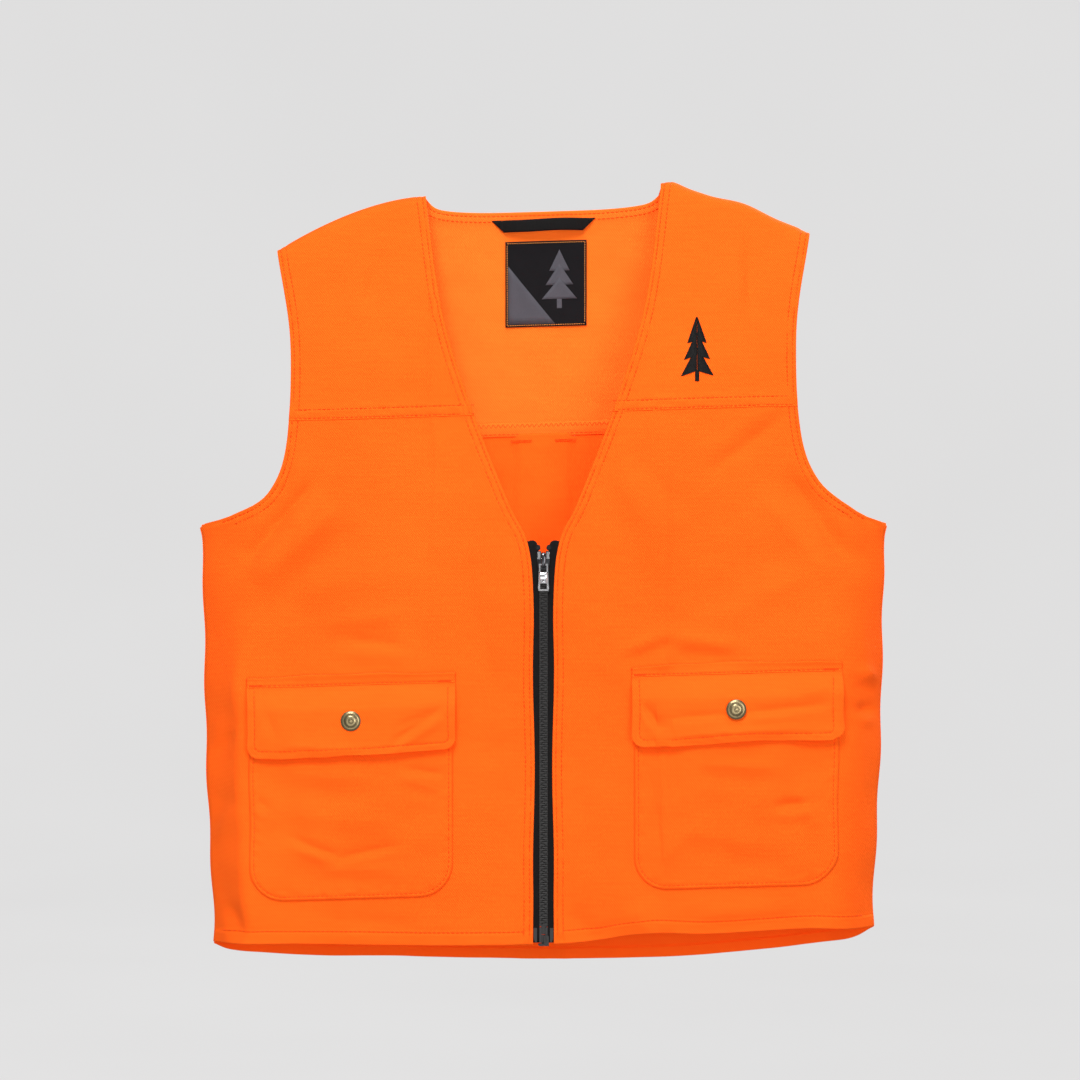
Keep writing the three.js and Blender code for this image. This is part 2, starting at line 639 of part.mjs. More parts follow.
const capProfile = () => {
  const foot = LINING_BACK - 0.1;
  const rim = FLAP_FACE + 0.3;
  const radius = SNAP_CAP_RADIUS;
  return [
    [0, foot], [1.4, foot], [1.4, rim], [radius - 0.6, rim], [radius, rim + 0.5], [radius - 0.2, rim + 1.1],
    [radius - 1.4, rim + 1.7], [radius * 0.55, rim + 2.3], [radius * 0.28, rim + 2.6], [0, rim + 2.7],
  ];
};

const socketProfile = () => {
  const face = STUD_BASE + 1.1;
  const back = LINING_BACK - 0.4;
  return [
    [0, back - 0.5], [2.9, back - 0.5], [2.9, face], [5.4, face], [5.9, face + 0.5], [5.6, back], [0, back],
  ];
};

const studProfile = () => {
  const bore = 0.9 + 0.3;
  return [
    [bore, STUD_BASE], [5.2, STUD_BASE], [5.2, STUD_BASE + 0.7], [2.2, STUD_BASE + 0.8],
    [2.4, STUD_BASE + 1.6], [1.9, STUD_BASE + 2.2], [bore, STUD_BASE + 2.2], [bore, STUD_BASE],
  ];
};

const postProfile = () => {
  const back = POCKET_FACE - CLOTH - 0.3;
  const tip = STUD_BASE + 1.6;
  return [[0, back - 0.7], [4.6, back - 0.7], [4.6, back], [0.9, back], [0.9, tip], [0, tip]];
};

function addPocket(side) {
  const strip = frontBox(
    POCKET_X - FLAP_WIDTH / 2, POCKET_X + FLAP_WIDTH / 2,
    CLOTH + GAP, CLOTH + GAP + 2, FLAP_HINGE_Z + GAP, FLAP_TOP_Z,
  );
  const lining = flapLayer(LINING_BACK, LINING_BACK + 1, 1.5);
  const outer = flapLayer(FLAP_BACK, FLAP_FACE, 0);
  addCloth(`${side.name}_pocket_bag`, mirrored(pocketBag(), side));
  addCloth(`${side.name}_flap_seam_strip`, mirrored(strip, side));
  addCloth(`${side.name}_flap_lining`, mirrored(lining, side));
  addCloth(`${side.name}_flap`, mirrored(outer, side));
  add(`${side.name}_snap_cap`, turned(capProfile(), side), "brass");
  add(`${side.name}_snap_socket`, turned(socketProfile(), side), "brass");
  add(`${side.name}_snap_stud`, turned(studProfile(), side), "brass");
  add(`${side.name}_snap_post`, turned(postProfile(), side), "brass");
}

addFronts();
addBack();
addLabel();
addHangingLoop();
addChestMark();
addZip();
addSlider();
sides.forEach(addPocket);

export default vest;
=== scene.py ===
"""A blaze orange hunting vest with a V neck, a full front zip and two flapped pockets. Lengths are metres."""

import functools
import math

import bmesh
import bpy
import numpy as np
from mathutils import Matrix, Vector


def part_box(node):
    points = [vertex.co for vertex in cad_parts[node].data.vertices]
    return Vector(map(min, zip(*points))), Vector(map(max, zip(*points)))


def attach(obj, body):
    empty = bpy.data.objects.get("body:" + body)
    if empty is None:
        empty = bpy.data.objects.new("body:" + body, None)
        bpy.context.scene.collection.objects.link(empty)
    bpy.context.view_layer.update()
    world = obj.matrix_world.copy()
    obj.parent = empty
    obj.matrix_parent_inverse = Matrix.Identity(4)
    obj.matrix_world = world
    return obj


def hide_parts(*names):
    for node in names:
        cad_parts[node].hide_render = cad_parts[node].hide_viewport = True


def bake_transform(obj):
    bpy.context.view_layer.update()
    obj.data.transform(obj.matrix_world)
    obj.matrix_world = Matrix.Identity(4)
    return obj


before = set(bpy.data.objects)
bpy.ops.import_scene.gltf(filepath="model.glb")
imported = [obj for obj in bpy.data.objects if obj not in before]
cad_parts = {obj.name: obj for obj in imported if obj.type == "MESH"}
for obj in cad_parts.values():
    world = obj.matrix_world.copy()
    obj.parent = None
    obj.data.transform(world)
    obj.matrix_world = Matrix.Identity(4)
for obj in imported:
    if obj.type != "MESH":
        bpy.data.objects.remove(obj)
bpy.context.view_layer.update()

MM = 0.001
FRONT, BACK = -1, 1
LEFT, RIGHT = 1, -1
NAMES = {LEFT: "left", RIGHT: "right"}

# ------------------------------------------------------------------ driving dimensions

SWAY = 0.03
HALF_CHEST = 0.267
HALF_HEM = 0.256
HALF_NECK = 0.092
HALF_SHOULDER = 0.208
SHOULDER_FALL = 0.039
ARMHOLE_Z = -0.259
FRONT_HEM_Z = -0.584
BACK_HEM_Z = -0.602
FRONT_YOKE_Z = -0.173
BACK_YOKE_Z = -0.188
BACK_NECK_Z = -0.013
DEPTH = {FRONT: 0.028, BACK: 0.024}
RIDGE_RADIUS = 0.007
DEPTH_REACHED = 0.240
HALF_GAP = -0.00015
ZIP_TOP_Z = -0.272
ZIP_SHOWN = 0.0078

CLOTH_OUT = 0.0010  # faces of a single layer, from the surface that the frame's cloth starts at
CLOTH_IN = 0.0004
HEM_OUT = 0.0013
HEM_IN = -0.0005
HEM_WIDTH = 0.0092
ROWS_IN_HEM = (0.0028, 0.0072)
STITCH = 0.0036
THREAD = 0.00030
ROW_WIDTH = 0.0008  # of the groove that a row of stitches pulls into the cloth
HEM_ROW = 0.0100  # from the hem's edge
YOKE_ROWS = (0.0014, 0.0082)
YOKE_OVER = 0.0007  # the yoke laps over the panel below its seam
SEAM_LAP = 0.004
LAP_WIDTH = 0.011
UNDER_ARM_Z = ARMHOLE_Z - 0.001
NO_HEM = 0.02  # a distance at which the hem isn't felt
FAR = 1.0

POCKET_X = 0.1485
POCKET_HALF = 0.0785
POCKET_TOP_Z = -0.392
POCKET_BOTTOM_Z = -0.545
POCKET_CORNER = 0.026
FLAP_HALF = 0.0805
FLAP_TOP_Z = -0.371
FLAP_HINGE_Z = -0.379
FLAP_BOTTOM_Z = -0.4325
SNAP_Z = -0.406

# ------------------------------------------------------------------ small numeric helpers


def smooth(t):
    """An even step from 0 to 1."""
    t = np.clip(t, 0.0, 1.0)
    return t * t * (3 - 2 * t)


def blob(distance, width):
    """A soft bump, 1 at its middle."""
    return np.exp(-((distance / width) ** 2))


def through(points, steps=24):
    """A smooth curve through points, as a dense polyline."""
    p = np.array(points, float)
    p = np.vstack([2 * p[0] - p[1], p, 2 * p[-1] - p[-2]])
    t = np.linspace(0, 1, steps, endpoint=False)[:, None]
    out = []
    for a, b, c, d in zip(p[:-3], p[1:-2], p[2:-1], p[3:]):
        bend, twist = 2 * a - 5 * b + 4 * c - d, 3 * b - a - 3 * c + d
        out.append(0.5 * (2 * b + (c - a) * t + bend * t**2 + twist * t**3))
    out.append(p[-2][None])
    return np.vstack(out)


def along(line, step):
    """Points every step along a polyline, and the length there."""
    line = np.array(line, float)
    gone = np.r_[0, np.cumsum(np.linalg.norm(np.diff(line, axis=0), axis=1))]
    at = np.arange(max(2, int(gone[-1] / step) + 1)) * step
    at = at[at <= gone[-1]]
    return np.stack([np.interp(at, gone, line[:, k]) for k in range(line.shape[1])], 1), at


def inset(line, by):
    """The polyline moved sideways to its left, in its own plane."""
    line = np.array(line, float)
    run = np.gradient(line, axis=0)
    run /= np.linalg.norm(run, axis=1)[:, None] + 1e-12
    return line + by * np.stack([-run[:, 1], run[:, 0]], 1)


def distance_to(line, x, z):
    """Distance of each point (x, z) to a polyline."""
    a, b = line[:-1], line[1:]
    run = b - a
    best = np.full(x.shape, 1e9)
    for start, way in zip(a, run):
        size = way @ way + 1e-18
        t = np.clip(((x - start[0]) * way[0] + (z - start[1]) * way[1]) / size, 0, 1)
        best = np.minimum(best, np.hypot(x - start[0] - t * way[0], z - start[1] - t * way[1]))
    return best


def in_mm(rows):
    """Rows of millimetres, as metres."""
    return np.array(rows) * MM


def rounded(gap, radius):
    """Share of the full height at a distance from an edge that is rounded over."""
    return np.sqrt(1 - (1 - np.clip(gap / radius, 0, 1)) ** 2)


def ripple(x, z, size, seed, count=7):
    """Smooth irregular waves between about -1 and 1, about size long."""
    rng = np.random.default_rng(seed)
    total = np.zeros_like(x)
    for angle, stretch, phase in zip(*rng.random((3, count))):
        turn, wave = angle * math.pi, 2 * math.pi / (size * (0.7 + 0.8 * stretch))
        total += np.sin((x * math.cos(turn) + z * math.sin(turn)) * wave + phase * 2 * math.pi)
    return total / math.sqrt(count)


# ------------------------------------------------------------------ the body's surface


def shoulder_z(x):
    """Height of the shoulder line, with the peak that the hanger's arm makes on the wearer's left."""
    run = np.clip((np.abs(x) - HALF_NECK - 0.003) / (HALF_SHOULDER - HALF_NECK - 0.003), 0, 1)
    peak = 0.0058 * blob(x - 0.099, 0.013) + 0.0009 * np.sin(x * 130) * smooth((x - 0.105) / 0.03)
    return -SHOULDER_FALL * run**1.7 + peak


def half_width(z):
    """Half the body's width below the armholes."""
    down = np.clip((ARMHOLE_Z - z) / (ARMHOLE_Z - BACK_HEM_Z), 0, 1)
    return HALF_CHEST + (HALF_HEM - HALF_CHEST) * down


def depth_at(below, full):
    """Depth of the cloth at a distance below the shoulder line."""
    rim = 1 - np.clip(below, 0, RIDGE_RADIUS) / RIDGE_RADIUS
    swell = 1 - np.clip(below, 0, DEPTH_REACHED) / DEPTH_REACHED
    return RIDGE_RADIUS * np.sqrt(1 - rim * rim) + (full - RIDGE_RADIUS) * (1 - swell * swell)


def side_turn(x, z, facing):
    """How much of the depth is left where the cloth turns to the side seam.

    The turn is soft at the underarm and creased below it, most of all at the wearer's right.
    """
    reach = np.abs(x) / half_width(z)
    low = smooth((ARMHOLE_Z - 0.012 - z) / 0.105)
    creased = (x < 0) & (facing == FRONT)
    start = 0.76 + (np.where(creased, 0.893, 0.86) - 0.76) * low
    power = 2.2 - np.where(creased, 1.16, 0.62) * low
    past = np.clip(reach - start, 0, None) / (1 - start)
    return 1 - np.clip(past, 0, 1) ** power


# Folds pressed or hung into the cloth: x and z of both ends, height outwards and half width, in millimetres.
FRONT_FOLDS = in_mm([
    (-232, -285, -180, -222, -4.1, 6.3), (-222, -300, -160, -240, 3.5, 10.8),
    (-205, -255, -196, -195, -1.9, 5.4), (236, -290, 190, -225, -3, 7.2),
    (228, -310, 165, -236, 2.7, 11.7), (55, -178, 92, -300, 1.9, 13.5),
    (190, -178, 128, -222, -1.6, 6.3), (-150, -345, -108, -350, -2.2, 4),
    (-175, -331, -110, -326, 1.6, 7.2), (-60, -300, -35, -400, -1.6, 9),
    (242, -380, 264, -388, 2.8, 5), (242, -409, 264, -412, -3, 4.2),
    (100, -350, 152, -358, 2.4, 5.4), (-240, -412, -262, -440, -2.2, 6.5),
    (-235, -470, -260, -500, 2.2, 8.1), (-245, -545, -225, -580, -2.2, 7.2),
    (70, -555, 88, -584, 4.1, 12.6), (20, -560, 45, -584, -2.4, 10.8),
    (-115, -20, -140, -90, -1.6, 7.2), (158, -18, 162, -100, -2.2, 5.4),
    (108, -6, 118, -40, -2.2, 4.5), (-108, -6, -114, -32, -2.2, 4.5),
    (60, -360, 100, -345, 1.8, 4), (60, -200, 110, -250, -1.4, 11),
    (210, -300, 130, -340, 1.4, 12), (-200, -300, -110, -300, 1.2, 13),
    (-170, -560, -100, -566, -1, 6), (120, -565, 200, -560, 1.2, 6),
])
# Long folds left by packing: x, top, bottom, height, half width.
PRESS_LINES = in_mm([(-84, -30, -372, 2.2, 4.3), (93.6, -175, -560, 2.4, 4.3)])
BACK_FOLDS = in_mm([
    (-30, -210, -75, -420, 2.8, 18), (34, -210, 88, -440, 3, 20),
    (150, -230, 170, -560, -2.8, 22), (-160, -230, -150, -560, -2.5, 22),
    (-225, -300, -150, -235, 2.8, 12), (225, -310, 155, -240, 3, 12),
    (-120, -60, -90, -160, 1.5, 16), (120, -70, 86, -170, -1.5, 16),
])


def fold(x, z, x0, z0, x1, z1, height, width):
    """A crease with a softer ridge beside it."""
    way_x, way_z = x1 - x0, z1 - z0
    size = math.hypot(way_x, way_z)
    t = ((x - x0) * way_x + (z - z0) * way_z) / size**2
    off = ((x - x0) * way_z - (z - z0) * way_x) / size
    on = np.clip(t, 0, 1)
    across_it = np.exp(-np.abs(off / width) ** 1.5) - 0.55 * blob(off - 1.9 * width, 1.2 * width)
    return height * (1 - 0.8 * np.abs(2 * on - 1) ** 3) * across_it * blob((t - on) * size, 2 * width)


FOLD_DEPTH = 1.35


def folds(x, z, facing):
    """How far the cloth stands out from the body's even surface."""
    hung = smooth((shoulder_z(x) - z - 0.004) / 0.07)
    out = 0.0010 * ripple(x, z * 0.6, 0.120, 11 + facing) + 0.00028 * ripple(x, z, 0.034, 21 + facing)
    for row in FRONT_FOLDS if facing == FRONT else BACK_FOLDS:
        out = out + FOLD_DEPTH * fold(x, z, *row)
    if facing == FRONT:
        for at, top, bottom, height, width in PRESS_LINES:
            long = smooth((top - z) / 0.05) * smooth((z - bottom) / 0.05)
            out = out + height * long * np.exp(-np.abs(x - at + 0.0015 * ripple(z, z, 0.09, 5)) / width)
    else:
        out = out - 0.0016 * np.exp(-np.abs(x) / 0.0016) * smooth((BACK_YOKE_Z - z) / 0.012)
        out = out + 0.0020 * blob(x, 0.030) * smooth((BACK_YOKE_Z - z) / 0.060)
    if facing == FRONT:
        ridge = 0.893 * half_width(z) + 0.0015 * np.sin(z * 50)
        out = out + 0.0017 * np.exp(-np.abs(-x - ridge) / 0.006) * smooth((-0.30 - z) / 0.08)
    near_seam = smooth((half_width(z) - np.abs(x)) / 0.018)
    return out * hung * np.where(z < ARMHOLE_Z, near_seam, 1.0) * zip_calm(x, z, facing)


def zip_calm(x, z, facing):
    """The cloth lies flat beside the zip, where the tape holds it."""
    if facing == BACK:
        return 1.0
    return 1 - 0.9 * blob(x, 0.016) * smooth((ZIP_TOP_Z + 0.03 - z) / 0.03)


def surface(x, z, facing):
    """Points on the inside of the cloth, before the sway."""
    below = np.maximum(shoulder_z(x) - z, 0)
    y = facing * (HALF_GAP + depth_at(below, DEPTH[facing]) * side_turn(x, z, facing))
    return np.stack([x, y, z], -1)


def side_bulge(x, z):
    """The side seams bow out below the armholes, wave a little, and stand out at their ends."""
    near = smooth((np.abs(x) - 0.18) / 0.08)
    wave = 0.0007 * np.sin(z * 88 + 3 * np.sign(x)) * smooth((ARMHOLE_Z - z) / 0.04)
    bow = 0.0021 * blob(z + 0.440, 0.10) + wave
    tips = 0.0018 * blob(z - ARMHOLE_Z, 0.006) + 0.0016 * blob(z - FRONT_HEM_Z, 0.014)
    return np.sign(x) * (bow * near + tips * smooth((np.abs(x) - 0.246) / 0.016))


def sway(x, z):
    """The vest hangs a little lower on the wearer's right, except at the corners under the arms."""
    level = blob(np.abs(x) - HALF_CHEST, 0.050) * blob(z - ARMHOLE_Z, 0.065)
    return SWAY * x * (1 - 0.92 * level)


def normal_of(at, x, z, facing):
    """Outward unit normals of a surface function of x and z."""
    step = 4e-5
    along_x = at(x + step, z) - at(x - step, z)
    along_z = at(x, z + step) - at(x, z - step)
    n = np.cross(along_x, along_z)
    n /= np.linalg.norm(n, axis=-1, keepdims=True) + 1e-15
    return np.where(n[..., 1:2] * facing < 0, -n, n)


def folded(x, z, facing):
    """Folded cloth: the even surface, moved out along its normal."""
    even = normal_of(lambda a, b: surface(a, b, facing), x, z, facing)
    return surface(x, z, facing) + even * folds(x, z, facing)[..., None]


def place(x, z, facing, out):
    """Points that stand out from the folded cloth, in the row's frame."""
    x, z = np.asarray(x, float), np.asarray(z, float)
    base = folded(x, z, facing)
    n = normal_of(lambda a, b: folded(a, b, facing), x, z, facing)
    p = base + n * np.asarray(out, float)[..., None]
    seam = blob(half_width(z) - np.abs(x), 0.0012) * (z < ARMHOLE_Z + 0.004)
    p[..., 1] += (facing * HALF_GAP - p[..., 1]) * seam
    p[..., 0] += side_bulge(x, z)
    p[..., 2] += sway(p[..., 0], p[..., 2])
    return p


# ------------------------------------------------------------------ mesh helpers


def to_object(name, points, faces, material, smooth_faces=True):
    """A mesh object from points and faces."""
    mesh = bpy.data.meshes.new(name)
    mesh.from_pydata(np.asarray(points).tolist(), [], [list(map(int, f)) for f in faces])
    work = bmesh.new()
    work.from_mesh(mesh)
    bmesh.ops.recalc_face_normals(work, faces=work.faces)
    work.to_mesh(mesh)
    work.free()
    mesh.polygons.foreach_set("use_smooth", [smooth_faces] * len(mesh.polygons))
    mesh.materials.append(material)
    obj = bpy.data.objects.new(name, mesh)
    bpy.context.collection.objects.link(obj)
    return obj


def pillow(name, outer, inner, material, slot, lining=None):
    """A closed sheet from two grids of points that meet round their edge, each with its own material."""
    rows, cols = outer.shape[:2]
    edge = np.zeros((rows, cols), bool)
    edge[[0, -1], :] = True
    edge[:, [0, -1]] = True
    front = outer.copy()
    front[edge] = (outer[edge] + inner[edge]) / 2
    ids = np.arange(rows * cols).reshape(rows, cols)
    behind = ids.copy()
    behind[~edge] = rows * cols + np.arange((~edge).sum())
    points = np.vstack([front.reshape(-1, 3), inner[~edge]])

    def quads(g):
        return np.stack([g[:-1, :-1], g[:-1, 1:], g[1:, 1:], g[1:, :-1]], -1).reshape(-1, 4)

    obj = to_object(name, points, np.vstack([quads(ids), quads(behind)[:, ::-1]]), material)
    # The vest passes the twill painted lighter here, for the light on its inside faces.
    if lining:
        obj.data.materials.append(lining)
        half = (rows - 1) * (cols - 1)
        obj.data.polygons.foreach_set("material_index", np.repeat([0, 1], half).astype(np.int32))
    return obj


def ribbon_faces(rings, sides):
    """Faces of a tube whose points come ring by ring."""
    ids = np.arange(rings * sides).reshape(rings, sides)
    nxt = np.roll(ids, -1, axis=1)
    return np.stack([ids[:-1], nxt[:-1], nxt[1:], ids[1:]], -1).reshape(-1, 4)


def stitches(name, ends, normals, material, slot, radius=THREAD):
    """Sewn stitches: for each pair of ends, a short thread that dips into the cloth at both."""
    sides = 6
    ends, normals = np.asarray(ends, float), np.asarray(normals, float)
    share = np.array([0.0, 0.12, 0.5, 0.88, 1.0])
    thick = np.array([0.35, 0.9, 1.0, 0.9, 0.35]) * radius
    lift = np.array([-1.1, 0.0, 0.55, 0.0, -1.1]) * radius
    a, b = ends[:, 0], ends[:, 1]
    run = b - a
    run /= np.linalg.norm(run, axis=1)[:, None] + 1e-12
    side = np.cross(run, normals)
    side /= np.linalg.norm(side, axis=1)[:, None] + 1e-12
    up = np.cross(side, run)
    turn = np.linspace(0, 2 * math.pi, sides, endpoint=False)
    centre = a[:, None] + (b - a)[:, None] * share[:, None] + up[:, None] * lift[:, None]
    ring = side[:, None, None] * np.cos(turn)[:, None] + up[:, None, None] * np.sin(turn)[:, None]
    points = centre[:, :, None] + ring * thick[:, None, None]
    per = len(share) * sides
    one = ribbon_faces(len(share), sides)
    faces = (one[None] + (np.arange(len(ends)) * per)[:, None, None]).reshape(-1, 4).tolist()
    for k in range(len(ends)):
        faces.append(list(range(k * per, k * per + sides))[::-1])
        faces.append(list(range(k * per + per - sides, k * per + per)))
    return to_object(name, points.reshape(-1, 3), faces, material)


def sewn(lines, lift, pitch=STITCH, share=0.78):
    """Ends and normals for rows of stitches on polylines of (x, z). lift gives points for (x, z, out)."""
    ends, normals = [], []
    for line in lines:
        at, _ = along(line, pitch)
        nxt = at[:-1] + (at[1:] - at[:-1]) * share
        low_a, low_b = lift(at[:-1, 0], at[:-1, 1], 0.0), lift(nxt[:, 0], nxt[:, 1], 0.0)
        n = lift(at[:-1, 0], at[:-1, 1], MM) - low_a
        n /= np.linalg.norm(n, axis=1)[:, None]
        ends.append(np.stack([low_a, low_b], 1))
        normals.append(n)
    return np.concatenate(ends), np.concatenate(normals)


# ------------------------------------------------------------------ outlines

NECK = through([(HALF_NECK, 0.0), (0.079, -0.090), (0.0565, -0.165), (0.0275, -0.240), (0.0125, ZIP_TOP_Z),
                (ZIP_SHOWN, -0.315), (ZIP_SHOWN, -0.400)])
ARMHOLE = through([(HALF_CHEST, ARMHOLE_Z), (0.242, -0.2495), (0.213, -0.229), (0.199, -0.188),
                   (0.197, -0.110), (HALF_SHOULDER, -0.038)])


def neck_x(z, _=None):
    """The front's inner edge: the V of the neck, then the cloth's edge along the zip."""
    wave = 0.0006 * np.sin((z + 0.40) * 42) - 0.0007 * blob(z + 0.475, 0.05)
    wave += 0.0008 * smooth((-0.54 - z) / 0.04)
    return np.interp(-z, -NECK[:, 1], NECK[:, 0]) + wave * smooth((-0.32 - z) / 0.05)


def outer_x(z):
    """The armhole's edge, and the side seam below it."""
    arm = np.interp(z, ARMHOLE[:, 1], ARMHOLE[:, 0])
    return np.where(z > ARMHOLE_Z, arm, half_width(z))


def front_hem(x, side):
    """Height of the front hem over its level line."""
    reach = np.abs(x)
    rise = 0.0065 * smooth((reach - 0.02) / 0.22)
    if side == LEFT:
        rise = rise + 0.0050 * blob(reach - 0.080, 0.032) - 0.0035 * smooth((reach - 0.20) / 0.05)
    return rise


BACK_HEM = through(in_mm([(-257, 23.5), (-245, 16.5), (-222, 11.8), (-175, 7.8), (-120, 6.2), (-64, 2.9),
                          (5, 0), (100, -1.2), (169, 2.2), (204, 5.2), (240, 10), (257, 21)]))


def back_hem(x):
    """Height of the back hem over its level line."""
    return np.interp(x, BACK_HEM[:, 0], BACK_HEM[:, 1])


def back_neck_z(x):
    """The back's upper edge: the neck between the shoulders."""
    inner = through([(0, BACK_NECK_Z), (0.05, -0.0125), (0.08, -0.0095), (0.0905, -0.003), (HALF_NECK, 0)])
    reach = np.abs(x)
    return np.where(reach < HALF_NECK, np.interp(reach, inner[:, 0], inner[:, 1]), shoulder_z(x))


EDGE_STEPS = in_mm([0, 0.12, 0.35, 0.7, 1.2, 1.9, 2.5, 3.1, 3.8, 4.9, 6, 6.8, 7.5, 8.3, 9.1, 10.2])


def across(x0, x1, middle):
    """Columns between two edges, close together beside both."""
    first = x0[:, None] + EDGE_STEPS
    last = (x1[:, None] - EDGE_STEPS)[:, ::-1]
    t = np.linspace(0, 1, middle + 2)[1:-1]
    between = first[:, -1:] + (last[:, :1] - first[:, -1:]) * t
    return np.hstack([first, between, last])


def down(length, step, fine_top=True):
    """Shares of the way down, close together at the bottom and, if asked, at the top."""
    head = EDGE_STEPS if fine_top else np.zeros(1)
    count = max(2, int((length - head[-1] - EDGE_STEPS[-1]) / step))
    body = np.linspace(head[-1], length - EDGE_STEPS[-1], count + 1)[1:-1]
    return np.concatenate([head, body, (length - EDGE_STEPS)[::-1]]) / length


def sheet_profile(distances, hemmed):
    """Heights of both faces, given the distance to each edge: hems are three layers with sewn rows."""
    out = np.full_like(distances[0], CLOTH_OUT)
    inn = np.full_like(distances[0], CLOTH_IN)
    for gap, rows in zip(distances, hemmed):
        if rows:
            in_hem = smooth((HEM_WIDTH - gap) / 0.0012)
            out = np.maximum(out, CLOTH_OUT + (HEM_OUT - CLOTH_OUT) * in_hem)
            inn = np.minimum(inn, CLOTH_IN + (HEM_IN - CLOTH_IN) * in_hem)
    for gap, rows in zip(distances, hemmed):
        for row in rows:
            out = out - 0.00042 * blob(gap - row, ROW_WIDTH)
            inn = inn + 0.00030 * blob(gap - row, ROW_WIDTH)
    rim = rounded(np.minimum.reduce(distances), 0.0008)
    middle = (out + inn) / 2
    return middle + (out - middle) * rim, middle + (inn - middle) * rim


def pucker(gap, x, z, seed):
    """Small gathers along a sewn edge."""
    return 0.00034 * ripple(x, z, 0.0105, seed) * blob(gap - 0.005, 0.0055)


# ------------------------------------------------------------------ materials


class Nodes:
    """A short way to build a node tree."""

    def __init__(self, name):
        self.material = bpy.data.materials.new(name)
        self.material.use_nodes = True
        self.tree = self.material.node_tree
        self.shader = self.tree.nodes["Principled BSDF"]

    def add(self, kind, out, linked=(), **values):
        """A new node's output. The values are its settings and its uniform inputs."""
        node = self.tree.nodes.new("ShaderNode" + kind)
        for key, value in values.items():
            if hasattr(node, key):
                setattr(node, key, value)
            else:
                node.inputs[key.replace("_", " ")].default_value = value
        for key, socket in linked:
            self.tree.links.new(socket, node.inputs[key])
        return node.outputs[out]

    def place(self, turn=(0, 0, 0), scale=(1, 1, 1)):
        where = self.add("TexCoord", "Object")
        return self.add("Mapping", "Vector", [("Vector", where)], Rotation=turn, Scale=scale)

    def noise(self, scale, detail=2.0, rough=0.5, vector=None):
        where = [("Vector", vector or self.place())]
        return self.add("TexNoise", "Fac", where, Scale=scale, Detail=detail, Roughness=rough)

    def wave(self, scale, distortion, **turned):
        where = [("Vector", self.place(**turned))]
        return self.add("TexWave", "Fac", where, Scale=scale, Distortion=distortion)

    def math(self, operation, a, b):
        node = self.tree.nodes.new("ShaderNodeMath")
        node.operation = operation
        for socket, value in zip(node.inputs, (a, b)):
            if isinstance(value, (int, float)):
                socket.default_value = value
            else:
                self.tree.links.new(value, socket)
        return node.outputs[0]

    def total(self, *terms):
        """The sum of values, each times its weight."""
        parts = [self.math("MULTIPLY", value, weight) for value, weight in terms]
        return functools.reduce(lambda a, b: self.math("ADD", a, b), parts)

    def ramp(self, value, low, high, dark, light):
        colour = self.add("ValToRGB", "Color", [("Fac", value)])
        for stop, position, shade in zip(colour.node.color_ramp.elements, (low, high), (dark, light)):
            stop.position = position
            stop.color = (*shade, 1)
        return colour

    def bump(self, height, strength, distance, base=None):
        linked = [("Height", height)] + ([("Normal", base)] if base else [])
        return self.add("Bump", "Normal", linked, Strength=strength, Distance=distance)

    def surface(self, colour, rough, normal, **values):
        """Join the tree to the shader: rough holds a value and the roughness at its low and high ends."""
        value, low, high = rough
        rough = self.add("MapRange", "Result", [("Value", value)], To_Min=low, To_Max=high)
        self.join(Base_Color=colour, Roughness=rough, Normal=normal)
        return self.shade(**values)

    def join(self, **sockets):
        for key, socket in sockets.items():
            self.tree.links.new(socket, self.shader.inputs[key.replace("_", " ")])

    def shade(self, **values):
        for key, value in values.items():
            self.shader.inputs[key.replace("_", " ")].default_value = value
        return self.material


def twill(name, dark, light):
    """Twill: diagonal ribs crossed by yarns, with slubs, faint blotches, a soft sheen and a faint painted red
    glow that keeps its shade red, standing in for the dye's fluorescence.
    """
    m = Nodes(name)
    ribs = m.wave(225, 1.4, turn=(0, math.radians(38), 0))
    yarns = m.wave(330, 0.8, turn=(0, math.radians(90), 0))
    fuzz = m.noise(1500, 3, 0.6)
    grain = m.total((m.total((ribs, 0.68), (yarns, 0.32)), 0.8), (fuzz, 0.4))
    blotch = m.noise(7, 3, 0.55)
    slub = m.noise(1.0, 3, 0.6, m.place(scale=(60, 60, 420)))
    tone = m.total((grain, 0.56), (blotch, 0.28), (slub, 0.16))
    normal = m.bump(m.noise(55, 3, 0.6), 0.10, 0.0012, m.bump(grain, 0.55, 0.00040))
    # The red emission is a painted glow: it keeps the cloth red in its shade, standing in for the dye's
    # fluorescence.
    return m.surface(m.ramp(tone, 0.25, 0.75, dark, light), (fuzz, 0.80, 0.95), normal,
                     Sheen_Weight=0.06, Sheen_Roughness=0.5, Sheen_Tint=(1.0, 0.45, 0.12, 1),
                     Specular_IOR_Level=0.10, Emission_Strength=0.13, Emission_Color=(1.0, 0.055, 0.0, 1))


def thread_material(name, dark, light, sheen=0.3):
    """Twisted thread: fine plies."""
    m = Nodes(name)
    ply = m.wave(900, 2.0, turn=(0.6, 0.8, 0.3))
    return m.surface(m.ramp(ply, 0.2, 0.8, dark, light), (ply, 0.45, 0.7), m.bump(ply, 0.35, 0.0001),
                     Sheen_Weight=sheen, Sheen_Roughness=0.4, Specular_IOR_Level=0.12)


def tape_material(name, dark, light, across_scale=520):
    """Woven tape: fine ribs one way and yarns the other."""
    m = Nodes(name)
    ribs = m.wave(across_scale, 0.5, turn=(0, math.radians(90), 0))
    both = m.math("MULTIPLY", ribs, m.wave(across_scale * 0.55, 0.6))
    tone = m.math("ADD", both, m.math("MULTIPLY", m.noise(90, 3), 0.4))
    return m.surface(m.ramp(tone, 0.1, 1.1, dark, light), (both, 0.82, 0.95), m.bump(both, 0.5, 0.00025),
                     Sheen_Weight=0.02, Specular_IOR_Level=0.16)


